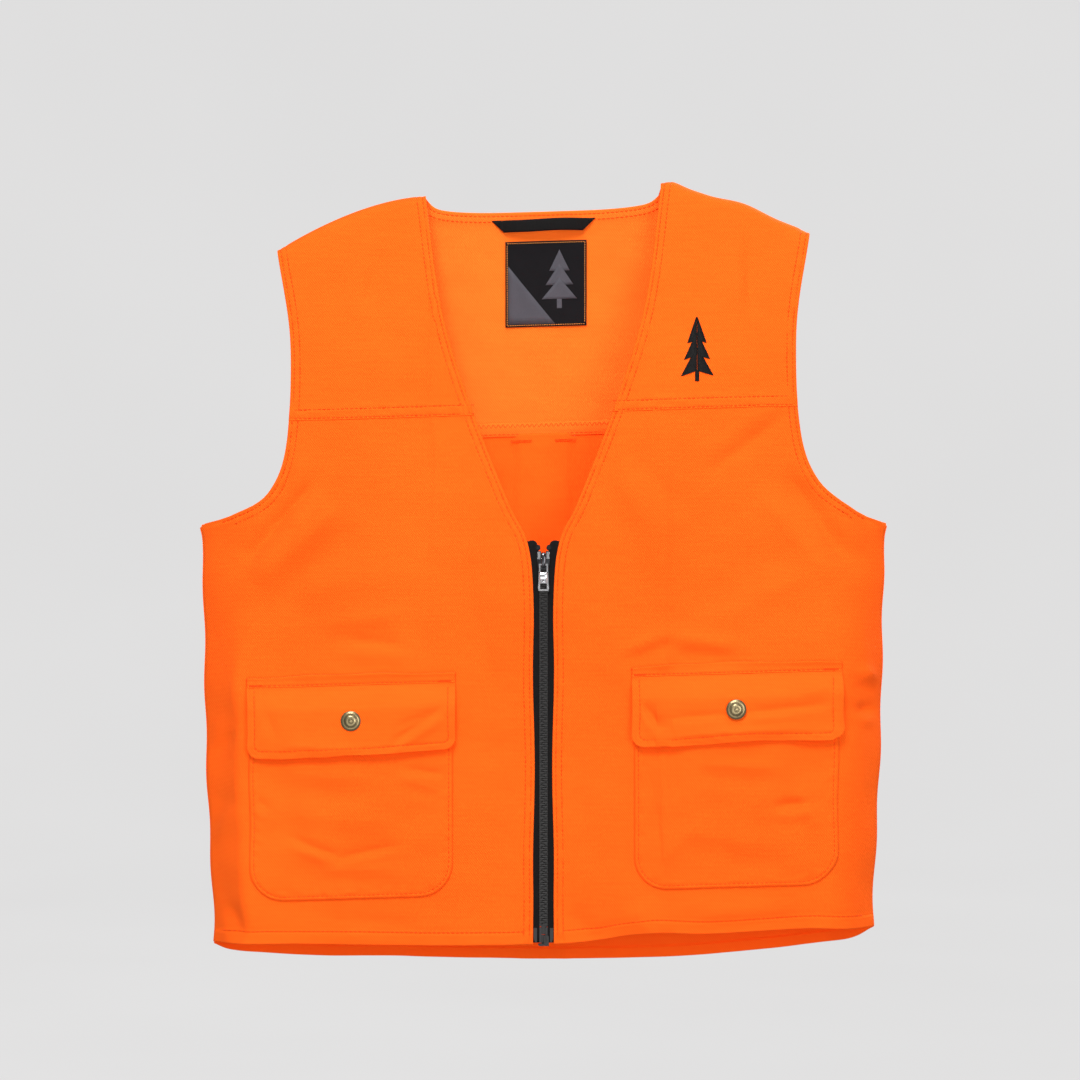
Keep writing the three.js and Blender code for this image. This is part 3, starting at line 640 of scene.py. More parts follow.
def moulded(name, dark, light, low, high):
    """Moulded plastic: faint flow marks and scuffs."""
    m = Nodes(name)
    mottled = m.noise(380, 4, 0.6)
    return m.surface(m.ramp(mottled, 0.3, 0.7, dark, light), (m.noise(900, 3), low, high),
                     m.bump(mottled, 0.12, 0.0002))


def plated(name, dark, light, low, high):
    """Plated metal with fine polishing marks and tarnish in random patches."""
    m = Nodes(name)
    marks = m.noise(2400, 3, 0.6, m.place(scale=(1, 1, 0.12)))
    tarnish = m.noise(420, 5, 0.65)
    return m.surface(m.ramp(tarnish, 0.35, 0.66, dark, light), (marks, low, high),
                     m.bump(marks, 0.06, 0.00008), Metallic=1.0)


def worn_brass(name):
    """Antiqued brass: dark oxide, rubbed through where the piece's own wear attribute is high."""
    m = Nodes(name)
    wear = m.add("Attribute", "Fac", attribute_name="wear")
    patch = m.noise(900, 5, 0.7)
    level = m.total((wear, 0.75), (patch, 0.5))
    return m.surface(m.ramp(level, 0.32, 0.95, (0.040, 0.026, 0.012), (0.40, 0.32, 0.17)),
                     (m.math("SUBTRACT", 1.0, level), 0.26, 0.52), m.bump(patch, 0.15, 0.0001), Metallic=0.92)


def backdrop_material():
    """Pale paint that glows a little, so that it stays even behind the vest."""
    m = Nodes("backdrop_paint")
    patches = m.noise(1.2, 3)
    m.join(Base_Color=m.ramp(patches, 0.3, 0.7, (0.009, 0.009, 0.009), (0.011, 0.011, 0.011)),
           Emission_Color=m.ramp(patches, 0.3, 0.7, (0.785, 0.780, 0.780), (0.80, 0.795, 0.795)))
    return m.shade(Roughness=0.95, Specular_IOR_Level=0.05, Emission_Strength=0.93)


ORANGE = twill("orange_twill", (0.90, 0.067, 0.0020), (1.0, 0.152, 0.0098))
# The same twill painted lighter, for the light that falls on the inside faces seen through the neck.
LIT_INSIDE_TWILL = twill("orange_twill_inside_painted_lighter", (0.94, 0.100, 0.0060), (1.0, 0.205, 0.0200))
# Orange thread, its own colour painted darker than the cloth, for the shade that falls in the needle holes
# along each row.
ORANGE_THREAD = thread_material("orange_thread", (0.74, 0.046, 0.0010), (0.95, 0.094, 0.0030), 0.02)
TAPE = tape_material("black_tape", (0.0030, 0.0026, 0.0027), (0.0095, 0.0080, 0.0080))
TOOTH = moulded("black_acetal", (0.0028, 0.0022, 0.0021), (0.0100, 0.0072, 0.0064), 0.22, 0.40)
FILM = moulded("black_film", (0.0030, 0.0027, 0.0032), (0.0095, 0.0085, 0.0100), 0.14, 0.28)
NICKEL = plated("bright_nickel", (0.62, 0.62, 0.64), (0.92, 0.92, 0.94), 0.08, 0.20)
# The same nickel painted dark: painted reflection of the dark surroundings, and painted shade under the crown.
SHADED_NICKEL = plated("nickel_painted_dark", (0.035, 0.035, 0.038), (0.13, 0.13, 0.14), 0.10, 0.24)
BRASS = worn_brass("antique_brass")
LABEL = tape_material("label_damask", (0.0035, 0.0031, 0.0040), (0.0100, 0.0090, 0.0110), 700)
LABEL_GREY = tape_material("label_grey", (0.060, 0.058, 0.070), (0.120, 0.117, 0.135), 700)
LABEL_THREAD = thread_material("label_thread", (0.55, 0.16, 0.02), (0.85, 0.34, 0.06))
BLACK_THREAD = thread_material("black_rayon", (0.002, 0.002, 0.002), (0.012, 0.011, 0.011), 0.05)


def cloth(name, X, Z, facing, out, inn, lining=None):
    """A closed sheet of twill between two heights over one side of the body."""
    # The second material is the twill painted lighter for the light on the inside faces.
    return pillow(name, place(X, Z, facing, out), place(X, Z, facing, inn), ORANGE, "twill", lining)


def fit(obj, body, *nodes):
    """The piece takes the place of the frame's nodes and rides one body."""
    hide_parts(*nodes)
    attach(obj, body)

# ------------------------------------------------------------------ panels


def cross_front(obj):
    """The piece's place is baked into its mesh; it is not attached to a body."""
    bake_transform(obj)


def measured(X, Z):
    """A grid's first, last, bottom and top edges, and each point's distance to them."""
    edges = [np.stack(pair, 1) for pair in
             ((X[:, 0], Z[:, 0]), (X[:, -1], Z[:, -1]), (X[-1], Z[-1]), (X[0], Z[0]))]
    return edges, [distance_to(edge, X, Z) for edge in edges]


def panel_grid(seam_z, hem_z, step, first_x, last_x, middle, hem):
    """A grid from just above the yoke's seam down to a hem that isn't level."""
    top = seam_z + SEAM_LAP
    share = down(top - hem_z, step)
    level = top + (hem_z - top) * share
    X = across(first_x(level), last_x(level), middle)
    return X, level[:, None] + hem(X) * share[:, None] ** 4


def panel_profile(Z, gaps, arms):
    """Heights of a panel's faces: arms says which edges are an armhole and, below it, a plain side seam."""
    above = Z > UNDER_ARM_Z
    sides = [np.where(above, g, np.maximum(g, NO_HEM)) if k in arms else g for k, g in enumerate(gaps[:2])]
    seam = np.where(above, FAR, np.minimum.reduce([gaps[k] for k in arms]))
    return sheet_profile(sides + [gaps[2], seam, gaps[3]], [ROWS_IN_HEM, ROWS_IN_HEM, (HEM_ROW,), (), ()])


def front_panel(side):
    """Cloth from the yoke's seam to the hem, between the zip's edge and the armhole and side."""
    X, Z = panel_grid(FRONT_YOKE_Z, FRONT_HEM_Z, 0.0034, neck_x, outer_x, 72, lambda x: front_hem(x, side))
    edges, gaps = measured(X, Z)
    out, inn = panel_profile(Z, gaps, (1,))
    arm = np.where(Z > UNDER_ARM_Z, gaps[1], np.maximum(gaps[1], NO_HEM))
    out += pucker(gaps[0], X, Z, 31 + side) + pucker(arm, X, Z, 33 + side)
    obj = cloth(f"{NAMES[side]}_front_cloth", X * side, Z, FRONT, out, inn)
    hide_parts(f"{NAMES[side]}_front_panel")
    cross_front(obj)
    return [edge * (side, 1) for edge in edges]


def yoke_grid(x_first, x_last, top_of, bottom, rows, middle):
    """A grid between a shoulder line and a level seam."""
    below = in_mm([0, 0.05, 0.15, 0.35, 0.7, 1.2, 1.9, 2.8, 3.9, 5.2, 7, 9.2, 12])
    share = np.concatenate([below / -bottom, np.linspace(below[-1] / -bottom, 1, rows)[1:]])
    tail = 1 - EDGE_STEPS[::-1] / -bottom
    share = np.concatenate([share[share < tail[0] - 1e-6], tail])
    level = bottom * share
    X = across(x_first(level, share), x_last(level, share), middle)
    return X, top_of(X) * (1 - share[:, None]) + bottom * share[:, None]


def lap_over(out, inn, gap):
    """Both faces of a yoke where it laps over its panel, with two sewn rows."""
    lap = YOKE_OVER * smooth((LAP_WIDTH - gap) / 0.0015)
    rows = blob(gap - YOKE_ROWS[0], 0.0007) + blob(gap - YOKE_ROWS[1], ROW_WIDTH)
    return out + lap - 0.00038 * rows, inn + lap


def arm_x(level, share):
    """The armhole's edge along a yoke's rows, which bend with the shoulder."""
    z = -SHOULDER_FALL * (1 - share) + level
    for _ in range(3):
        x = np.interp(z, ARMHOLE[:, 1], ARMHOLE[:, 0])
        z = shoulder_z(x) * (1 - share) + level
    return x


def front_yoke(side):
    """Cloth from the shoulder to the yoke's seam."""
    X, Z = yoke_grid(neck_x, arm_x, lambda x: shoulder_z(side * x), FRONT_YOKE_Z, 52, 34)
    edges, gaps = measured(X, Z)
    out, inn = lap_over(*sheet_profile(gaps, [ROWS_IN_HEM, ROWS_IN_HEM, (), ()]), gaps[2])
    for gap, seed in zip(gaps, (43, 45, 41)):
        out += pucker(gap, X, Z, seed + side)
    obj = cloth(f"{NAMES[side]}_yoke_cloth", X * side, Z, FRONT, out, inn)
    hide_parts(f"{NAMES[side]}_front_yoke")
    cross_front(obj)
    return [edge * (side, 1) for edge in edges]


def back_yoke():
    """Cloth from the shoulders and neck to the back's seam; the neck's edge is returned too."""
    X, Z = yoke_grid(lambda level, share: -arm_x(level, share), arm_x, back_neck_z, BACK_YOKE_Z, 52, 150)
    edges, gaps = measured(X, Z)
    neck = edges[3][np.abs(edges[3][:, 0]) < HALF_NECK]
    shoulder_gap = np.where(np.abs(X) < HALF_NECK, FAR, gaps[3])
    out, inn = sheet_profile([gaps[0], gaps[1], distance_to(neck, X, Z), gaps[2], shoulder_gap],
                             [ROWS_IN_HEM, ROWS_IN_HEM, ROWS_IN_HEM, (), ()])
    out, inn = lap_over(out, inn, gaps[2])
    inn -= 0.0009 * smooth((LAP_WIDTH - gaps[2]) / MM)
    out += pucker(gaps[2], X, Z, 47)
    # Its inside faces take the twill painted lighter, for the light that falls on them.
    obj = cloth("back_yoke_cloth", X, Z, BACK, out, inn, LIT_INSIDE_TWILL)
    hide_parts("back_yoke")
    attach(obj, "root")
    return edges + [neck]


PLEAT_HALF = 0.022
LABEL_X = 0.002


def back_panel():
    """Cloth from the back's seam to the hem, with a box pleat folded inside."""
    X, Z = panel_grid(BACK_YOKE_Z, BACK_HEM_Z, 0.0040, lambda level: -outer_x(level), outer_x, 150, back_hem)
    edges, gaps = measured(X, Z)
    out, inn = panel_profile(Z, gaps, (0, 1))
    inn -= 0.0016 * smooth((PLEAT_HALF - np.abs(X)) / 0.0016) * smooth(gaps[3] / 0.004)
    out += pucker(gaps[2], X, Z, 49)
    obj = cloth("back_panel_cloth", X, Z, BACK, out, inn)
    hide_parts("back_panel")
    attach(obj, "root")
    return edges


def on(facing, out, way=1):
    """A lift onto the cloth: a height over it, and the way that more height goes."""
    return lambda x, z, more: place(x, z, facing, out + way * more)


def sew(name, lines, lift, body="root", side=None, material=ORANGE_THREAD, **kind):
    """A piece of thread that holds every stitch along some lines."""
    obj = stitches(name, *sewn(lines, lift, **kind), material, "twill")
    if side is None:
        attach(obj, body)
    else:
        cross_front(obj)


def hem_rows(edge, towards, rows=ROWS_IN_HEM, keep=lambda p: np.ones(len(p), bool)):
    """Lines beside an edge, cut to the part that is kept."""
    return [line[keep(line)] for line in (inset(edge, towards * row) for row in rows)]


def between(value, low, high):
    return (value > low) & (value < high)


def sew_panels(fronts, yokes, yoke_back, panel_back):
    """Rows of stitches in the hems and seams of the whole vest."""
    out, seam_out = HEM_OUT - 0.00028, CLOTH_OUT + YOKE_OVER - 0.0002
    arm_end, hem_end = 0.263, 0.250
    for side in (LEFT, RIGHT):
        name = NAMES[side]
        low = lambda p: between(p[:, 1], FRONT_HEM_Z + 0.004, FRONT_YOKE_Z + 0.0005)
        arm = lambda p: between(p[:, 1], ARMHOLE_Z, FRONT_YOKE_Z + 0.0005) & (np.abs(p[:, 0]) < arm_end)
        inside = lambda p: between(np.abs(p[:, 0]), 0.014, hem_end)
        high = lambda p: between(p[:, 1], FRONT_YOKE_Z - 0.0005, shoulder_z(p[:, 0]) - 0.0007)
        neck, outer, hem, _ = fronts[side]
        rows = hem_rows(neck, side, keep=low) + hem_rows(outer, -side, keep=arm)
        rows += hem_rows(hem, side, [HEM_ROW], inside)
        sew(f"{name}_front_stitching", rows, on(FRONT, out), side=side)
        neck, outer, seam, _ = yokes[side]
        rows = hem_rows(neck, side, keep=high) + hem_rows(outer, -side, keep=high)
        sew(f"{name}_yoke_hem_stitching", rows, on(FRONT, out), side=side)
        sew(f"{name}_yoke_seam_stitching", hem_rows(seam, side, YOKE_ROWS), on(FRONT, seam_out), side=side)
    first, last, seam, _, neck = yoke_back
    high = lambda p: between(p[:, 1], BACK_YOKE_Z, shoulder_z(p[:, 0]) - 0.0005)
    rows = hem_rows(first, 1, keep=high) + hem_rows(last, -1, keep=high) + hem_rows(neck, -1)
    sew("back_yoke_hem_stitching", rows, on(BACK, out))
    sew("back_neck_inside_stitching", hem_rows(neck, -1), on(BACK, HEM_IN + 0.0001, -1))
    sew("back_yoke_seam_stitching", hem_rows(seam, 1, YOKE_ROWS), on(BACK, seam_out))
    overlock_seam(seam)
    first, last, hem, _ = panel_back
    arm = lambda p: between(p[:, 1], ARMHOLE_Z, BACK_YOKE_Z) & (np.abs(p[:, 0]) < arm_end)
    rows = hem_rows(first, 1, keep=arm) + hem_rows(last, -1, keep=arm)
    rows += hem_rows(hem, 1, [HEM_ROW], lambda p: np.abs(p[:, 0]) < hem_end)
    sew("back_panel_stitching", rows, on(BACK, out))
    pleat_tacks()


def zigzag(line, pitch, width):
    """Thread that crosses from side to side of a line."""
    at, _ = along(line, pitch)
    swing = np.where(np.arange(len(at)) % 2 == 0, 0.5, -0.5)[:, None] * width
    return at + swing * np.array([[0, 1]])


def overlock_seam(seam):
    """The yoke's seam allowance inside the back, overlocked with a zigzag of thread."""
    keep = seam[np.abs(seam[:, 0]) < 0.185]
    x = np.linspace(keep[0, 0], keep[-1, 0], 300)
    X, Z = np.meshgrid(x, BACK_YOKE_Z + in_mm([10.5, 9.9, 6, -0.4, -1]))
    Z[0] += 0.0004 * ripple(x, x, 0.006, 61)
    faces = [place(X, Z, BACK, CLOTH_IN + YOKE_OVER - deep) for deep in (0.0007, 0.0017)]
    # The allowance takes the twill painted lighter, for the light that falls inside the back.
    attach(pillow("back_yoke_seam_allowance", *faces, LIT_INSIDE_TWILL, "twill"), "root")
    lift = on(BACK, CLOTH_IN + YOKE_OVER - 0.0016, -1)
    middle, row = (np.stack([x, np.full_like(x, BACK_YOKE_Z + over)], 1) for over in (0.0078, 0.0012))
    sew("back_seam_overlock", [zigzag(middle, 0.0019, 0.0042)], lift, pitch=0.0023, share=1.0)
    sew("back_seam_inside_row", [row], lift)


def pleat_tacks():
    """Short bars of thread that hold the pleat's folds under the yoke."""
    rows = []
    for end in (-1, 1):
        for drop in (0.0040, 0.0052):
            x = np.linspace(end * (PLEAT_HALF + 0.004), end * (PLEAT_HALF - 0.014), 30)
            rows.append(np.stack([x, np.full_like(x, BACK_YOKE_Z - drop)], 1))
    sew("pleat_tacks", rows, on(BACK, CLOTH_IN - 0.0019, -1), pitch=0.0013, share=0.95)


# ------------------------------------------------------------------ neck: hanging loop and label


def hanging_loop():
    """A black tape, mitred and sewn down at both ends, bowed off the yoke between them."""
    lo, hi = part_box("hanging_loop")
    half_top, half_low = (hi.x - lo.x) / 2, (hi.x - lo.x) / 2 - 0.010
    top, height = -0.019, 0.0097
    t = np.linspace(-1, 1, 90)
    v = np.linspace(0, 1, 9)
    V, T = np.meshgrid(v, t, indexing="ij")
    X = T * (half_top + (half_low - half_top) * V)
    Z = top - height * V + 0.0006 * np.sin(X * 70) * (1 - np.abs(T))
    arch = np.cos(math.pi / 2 * np.clip(np.abs(X) / half_low, 0, 1)) ** 0.6
    P = place(X, Z, BACK, np.zeros_like(X))
    P[..., 1] = hi.y - 0.0005 - (hi.y - lo.y - 0.0009) * arch + 0.0006 * (V - 0.5) ** 2
    Q = P.copy()
    P[..., 1] -= 0.0009
    obj = pillow("hanging_loop_tape", P, Q, TAPE, "tape")
    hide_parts("hanging_loop")
    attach(obj, "root")
    for end in (-1, 1):
        x = end * (half_low + 0.004)
        line = np.array([[x, top - 0.0012], [x, top - height * 0.55]])
        lift = lambda a, b, more: np.stack([a, np.full_like(a, hi.y - 0.0018 - more), b + SWAY * a], -1)
        sew(f"loop_bar_tack_{'a' if end < 0 else 'b'}", [line, line + [[0.0008, 0]]], lift,
            material=BLACK_THREAD, pitch=0.0012, share=0.9)


def label_curl(x, z):
    """How far the label stands off the yoke: a faint wave, and ends that lift."""
    return 0.00020 * (1 + ripple(x, z, 0.05, 71)) + 0.00025 * smooth((np.abs(x - LABEL_X) - 0.026) / 0.006)


def neck_label():
    """A black woven label: a grey corner, a plain pine tree and an orange border row."""
    middle, half, top, bottom = LABEL_X, 0.032, -0.0357, -0.1027
    x = middle + np.linspace(-half, half, 46)
    z = np.concatenate([[top], np.linspace(top - 0.0006, bottom + 0.0006, 44), [bottom]])
    X, Z = np.meshgrid(x, z)
    face = place(X, Z, BACK, -0.0010 - label_curl(X, Z))
    rear = place(X, Z, BACK, -0.0004 - label_curl(X, Z))
    obj = pillow("neck_label_cloth", face, rear, LABEL, "label")
    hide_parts("neck_label")
    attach(obj, "root")
    margin = 0.0022
    left, low = middle - half + margin, bottom + margin
    corner = [(left, low), (middle + half - 0.025, low), (left, top - 0.019)]
    woven_patch("label_corner", corner, 0.0003, LABEL_GREY)
    for k, shape in enumerate(pine(middle + 0.0105, top - 0.007, 0.046, 0.014)):
        woven_patch(f"label_tree_{k}", shape, 0.0003 + 0.00002 * k, LABEL_GREY)
    a, b, c, d = middle - half + 0.0014, middle + half - 0.0014, top - 0.0014, bottom + 0.0014
    frame_line = [(a, c), (b, c), (b, d), (a, d), (a, c)]
    lines = [np.array([a, b]) for a, b in zip(frame_line[:-1], frame_line[1:])]
    sew("label_border", lines, lambda x, z, more: place(x, z, BACK, -0.0010 - more - label_curl(x, z)),
        material=LABEL_THREAD, pitch=0.0018, share=0.85)


def pine(x, top, tall, half):
    """A plain pine tree: three tiers, wider downwards, and a trunk."""
    step = tall * 0.24
    shapes = []
    for tier in range(3):
        wide, apex = half * (0.58 + 0.21 * tier), top - step * tier
        shapes.append([(x, apex), (x - wide, apex - step * 1.5), (x + wide, apex - step * 1.5)])
    foot, thick = top - step * 3.5, half * 0.14
    return shapes + [[(x - thick, foot), (x + thick, foot), (x + thick, top - tall), (x - thick, top - tall)]]


def woven_patch(name, outline, out, material):
    """A flat shape woven into the label's face."""
    work = bmesh.new()
    ring = [work.verts.new((a, 0, b)) for a, b in outline]
    work.faces.new(ring)
    bmesh.ops.triangulate(work, faces=work.faces)
    for _ in range(3):
        bmesh.ops.subdivide_edges(work, edges=work.edges, cuts=1, use_grid_fill=True)
    flat = np.array([v.co for v in work.verts])
    work.verts.index_update()
    faces = [[v.index for v in f.verts] for f in work.faces]
    work.free()
    count = len(flat)
    curl = label_curl(flat[:, 0], flat[:, 2])
    near = place(flat[:, 0], flat[:, 2], BACK, -0.0010 - out - curl)
    far = place(flat[:, 0], flat[:, 2], BACK, -0.0006 - curl)
    edges = {}
    for f in faces:
        for a, b in zip(f, f[1:] + f[:1]):
            edges[(a, b)] = edges.get((a, b), 0) + 1
    rim = [(a, b) for a, b in edges if (b, a) not in edges]
    shell = faces + [[v + count for v in f[::-1]] for f in faces]
    shell += [[b, a, a + count, b + count] for a, b in rim]
    obj = to_object(name, np.vstack([near, far]), shell, material)
    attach(obj, "root")
    return obj


# ------------------------------------------------------------------ chest mark


def chest_mark():
    """An embroidered pine tree: slanted satin threads in three tiers, and a trunk."""
    lo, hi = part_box("chest_mark")
    x0 = (lo.x + hi.x) / 2
    top = hi.z - SWAY * x0
    tall, half = hi.z - lo.z - 0.0015, (hi.x - lo.x) / 2
    trunk = 0.0070
    step = (tall - trunk) / 3.25
    ends = []
    rng = np.random.default_rng(81)
    for tier in range(3):
        apex = top - step * 0.92 * tier
        tier_tall = step * 1.35
        wide = half * (0.58 + 0.21 * tier)
        for k in np.arange(0, tier_tall, 0.00042):
            reach = wide * (k / tier_tall) ** 0.92 + 0.0006
            for way in (-1, 1):
                start = (x0 + way * 0.00005, apex - k + 0.0004)
                tip = (x0 + way * reach * (1 + 0.03 * rng.random()), apex - k - 0.30 * reach)
                ends.append((start, tip))
    for k in np.arange(0, trunk + 0.001, 0.00042):
        z = top - tall + k
        ends.append(((x0 - 0.0017, z), (x0 + 0.0017, z + 0.0002)))
    ends = np.array(ends)
    lift = lambda p, out: place(p[:, 0], p[:, 1], FRONT, CLOTH_OUT + out)
    a, b = lift(ends[:, 0], 0.0005), lift(ends[:, 1], 0.0004)
    n = lift(ends[:, 0], MM) - lift(ends[:, 0], 0)
    n /= np.linalg.norm(n, axis=1)[:, None]
    obj = stitches("chest_mark_embroidery", np.stack([a, b], 1), n, BLACK_THREAD, "thread", radius=0.00036)
    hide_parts("chest_mark")
    cross_front(obj)


# ------------------------------------------------------------------ pockets and flaps

BAG_EDGE = 0.0024
BAG_FULL = 0.0058
BAG_FOLDS = {
    RIGHT: in_mm([
        (-194, -496, -158, -511, -2.1, 3.4), (-158, -512, -114, -504, -1.8, 3.1),
        (-172, -522, -120, -521, 1.2, 4.5), (-226, -462, -210, -474, -1.4, 4),
        (-110, -444, -76, -450, -1.6, 3), (-112, -452, -80, -462, 1, 3.6),
        (-200, -445, -130, -452, 1, 7), (-190, -478, -110, -486, 1, 8)]),
    LEFT: in_mm([
        (178, -482, 206, -480, -2.8, 4.3), (82, -450, 92, -520, -1.5, 5.1),
        (120, -448, 180, -452, 1.8, 5.9), (104, -500, 170, -512, 1.5, 8.5),
        (196, -470, 212, -500, 1.5, 5.1)]),
}
FLAP_FOLDS = {
    RIGHT: in_mm([
        (-117, -424, -80, -399, -2.6, 3.2), (-114, -412, -88, -401, -1.2, 2.8),
        (-200, -424, -140, -428, 1.6, 5.4), (-215, -392, -205, -420, -1.1, 5)]),
    LEFT: in_mm([
        (92, -412, 224, -404, -2, 3.2), (76, -400, 94, -420, -3, 4),
        (100, -425, 200, -422, 2.2, 5.4), (196, -394, 222, -390, 1.3, 4.5)]),
}


def bag_outline(side, inset_by=0.0):
    """The sewn edge of a pocket: down one side, round the bottom and up the other, for x as worn."""
    half, corner = POCKET_HALF - inset_by, POCKET_CORNER - inset_by
    low = POCKET_BOTTOM_Z + inset_by
    turn = np.linspace(math.pi, 1.5 * math.pi, 14)
    a = np.stack([-half + corner + corner * np.cos(turn), low + corner + corner * np.sin(turn)], 1)
    b = np.stack([-a[::-1, 0], a[::-1, 1]], 1)
    ring = np.vstack([[[-half, POCKET_TOP_Z]], a, b, [[half, POCKET_TOP_Z]]])
    return ring + [[side * POCKET_X, 0]]


def bag_out(x, z, side):
    """Height of a pocket's outer face over the front."""
    gap = distance_to(bag_outline(side), x, z)
    full = BAG_FULL * (0.42 + 0.58 * smooth((z - POCKET_BOTTOM_Z) / 0.14))
    rise = CLOTH_OUT + BAG_EDGE * (1 - np.exp(-gap / 0.0009)) + full * smooth(gap / 0.062)
    for row in BAG_FOLDS[side]:
        rise = rise + fold(x, z, *row) * smooth(gap / 0.010)
    rise = rise + 0.00045 * ripple(x, z, 0.040, 91 + side) * smooth(gap / 0.02)
    rise = rise - ROW_SINK * blob(gap - BAG_ROW, ROW_WIDTH)
    return rise + 0.0003 * ripple(x, z, 0.011, 93 + side) * blob(gap - 0.005, 0.004)


def bag_grid(side, cols=96, rows=96):
    """Rows across a pocket whose ends follow its rounded corners."""
    body = np.linspace(POCKET_TOP_Z - 0.009, POCKET_BOTTOM_Z + 0.0095, rows)
    z = np.unique(np.r_[POCKET_TOP_Z - EDGE_STEPS[:-4], body, POCKET_BOTTOM_Z + EDGE_STEPS[:-1]])[::-1]
    drop = np.clip(POCKET_BOTTOM_Z + POCKET_CORNER - z, 0, POCKET_CORNER)
    half = POCKET_HALF - POCKET_CORNER + np.sqrt(np.maximum(POCKET_CORNER**2 - drop**2, 0))
    half = np.maximum(half, POCKET_HALF - POCKET_CORNER + 0.0005)
    X = across(-half, half, cols) + side * POCKET_X
    return X, np.repeat(z[:, None], X.shape[1], 1)


def pocket_bag(side):
    """A patch pocket with a turned mouth, sewn round its edge."""
    name, body = NAMES[side], f"front_{NAMES[side]}"
    X, Z = bag_grid(side)
    out = bag_out(X, Z, side)
    gap = distance_to(bag_outline(side), X, Z)
    mouth = POCKET_TOP_Z - Z
    thick = 0.0006 + 0.0008 * smooth((0.016 - mouth) / MM) + 0.0005 * smooth((0.008 - gap) / MM)
    rim = rounded(mouth, 0.0007)
    inn = np.maximum(out - thick * rim, CLOTH_OUT + 0.00012 * smooth(gap / MM))
    out = np.where(mouth < 0.0007, inn + (out - inn) * rim, out)
    obj = cloth(f"{name}_pocket_cloth", X, Z, FRONT, out, inn)
    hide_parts(f"{name}_pocket_bag")
    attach(obj, body)
    row = bag_outline(side, BAG_ROW)
    hem = np.array([(side * POCKET_X + end * (POCKET_HALF - 0.004), POCKET_TOP_Z - 0.014) for end in (-1, 1)])
    sew(f"{name}_pocket_stitching", [row[row[:, 1] < POCKET_TOP_Z + MM], hem],
        lambda x, z, more: place(x, z, FRONT, bag_out(x, z, side) + more - 0.00002), body)


FOLD_GAP = 0.0002
FLAP_LOW = 0.0030  # outer face at the fold
HINGE_Y = -0.0320
STRIP_ROW = 0.0013
BAG_ROW = 0.0035
ROW_SINK = 0.00045
FLAP_HIGH = 0.0144  # outer face at the snap
FLAP_SIDE = 0.0075  # outer face at the lower corners


def fold_level(x, side, behind):
    """How far the flap's fold stands from its usual height to lie straight along the hinge line."""
    line = side * POCKET_X + np.linspace(-FLAP_HALF, FLAP_HALF, 60)
    y = place(line, np.full(60, FLAP_HINGE_Z), FRONT, np.full(60, FLAP_LOW))[:, 1]
    order = np.argsort(line)
    return np.interp(x, line[order], y[order]) - HINGE_Y - behind


def flap_out(x, z, side):
    """Height of the flap's outer face: sewn down at the top, over the pocket's mouth and round the snap."""
    fall = FLAP_HINGE_Z - z
    u = np.clip(np.abs(x - side * POCKET_X) / FLAP_HALF, 0, 1)
    high = FLAP_HIGH + (FLAP_SIDE - FLAP_HIGH) * u**2.4
    rise = FLAP_LOW + (high - FLAP_LOW) * smooth(fall / 0.019)
    rise = rise + 0.0012 * smooth((fall - 0.030) / 0.024) * np.cos(u * 5.2 + side)
    held = (1 - blob(np.hypot(x - side * POCKET_X, z - SNAP_Z), 0.014)) * smooth((1 - u) / 0.17)
    for row in FLAP_FOLDS[side]:
        rise = rise + fold(x, z, *row) * held
    return rise + fold_level(x, side, 0.00015) * blob(fall, 0.011)


def flap_bottom(x, side):
    """The lower edge hangs in a slight wave."""
    u = (x - side * POCKET_X) / FLAP_HALF
    wave = {RIGHT: -0.0014 * np.cos(2.2 * u + 1.2), LEFT: 0.0012 * np.sin(2.6 * u + 0.6)}[side]
    return FLAP_BOTTOM_Z + wave


def flap_grid(side, inset_by=0.0):
    """Rows from the fold to the wavy lower edge, with rounded lower corners."""
    half, corner = FLAP_HALF - inset_by, 0.010
    share = down(FLAP_HINGE_Z - FLAP_BOTTOM_Z - inset_by, 0.0016)
    nominal = FLAP_HINGE_Z - FOLD_GAP + (FLAP_BOTTOM_Z + inset_by - FLAP_HINGE_Z + FOLD_GAP) * share
    drop = np.clip(FLAP_BOTTOM_Z + inset_by + corner - nominal, 0, corner)
    reach = half - corner + np.sqrt(np.maximum(corner**2 - drop**2, 0))
    X = across(-reach, reach, 70) + side * POCKET_X
    Z = nominal[:, None] + (flap_bottom(X, side) - FLAP_BOTTOM_Z) * share[:, None] ** 2
    return X, Z


def flap_edge(X, Z):
    """A flap's free edge, down one side and up the other."""
    return np.vstack([np.stack([X[:, 0], Z[:, 0]], 1), np.stack([X[-1], Z[-1]], 1)[1:-1],
                      np.stack([X[::-1, -1], Z[::-1, -1]], 1)])


FLAP_ROW = 0.0058


def flap_layer(name, side, inset_by, lower, thick, node, rows):
    """One layer of a flap. Its own sewn edge is returned."""
    X, Z = flap_grid(side, inset_by)
    edge = flap_edge(X, Z)
    gap = distance_to(edge, X, Z)
    out = flap_out(X, Z, side) - lower + 0.0002 * ripple(X, Z, 0.010, 97 + side) * blob(gap - 0.004, 0.004)
    for row in rows:
        out = out - ROW_SINK * blob(gap - row, ROW_WIDTH)
    round_at = np.where(Z > FLAP_HINGE_Z - MM, 0.00025, 0.0006)
    rim = rounded(np.minimum(gap, FLAP_HINGE_Z - FOLD_GAP - Z), round_at)
    mid = out - thick / 2
    obj = cloth(name, X, Z, FRONT, mid + thick / 2 * rim, mid - thick / 2 * rim)
    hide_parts(node)
    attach(obj, f"flap_{NAMES[side]}")
    return edge


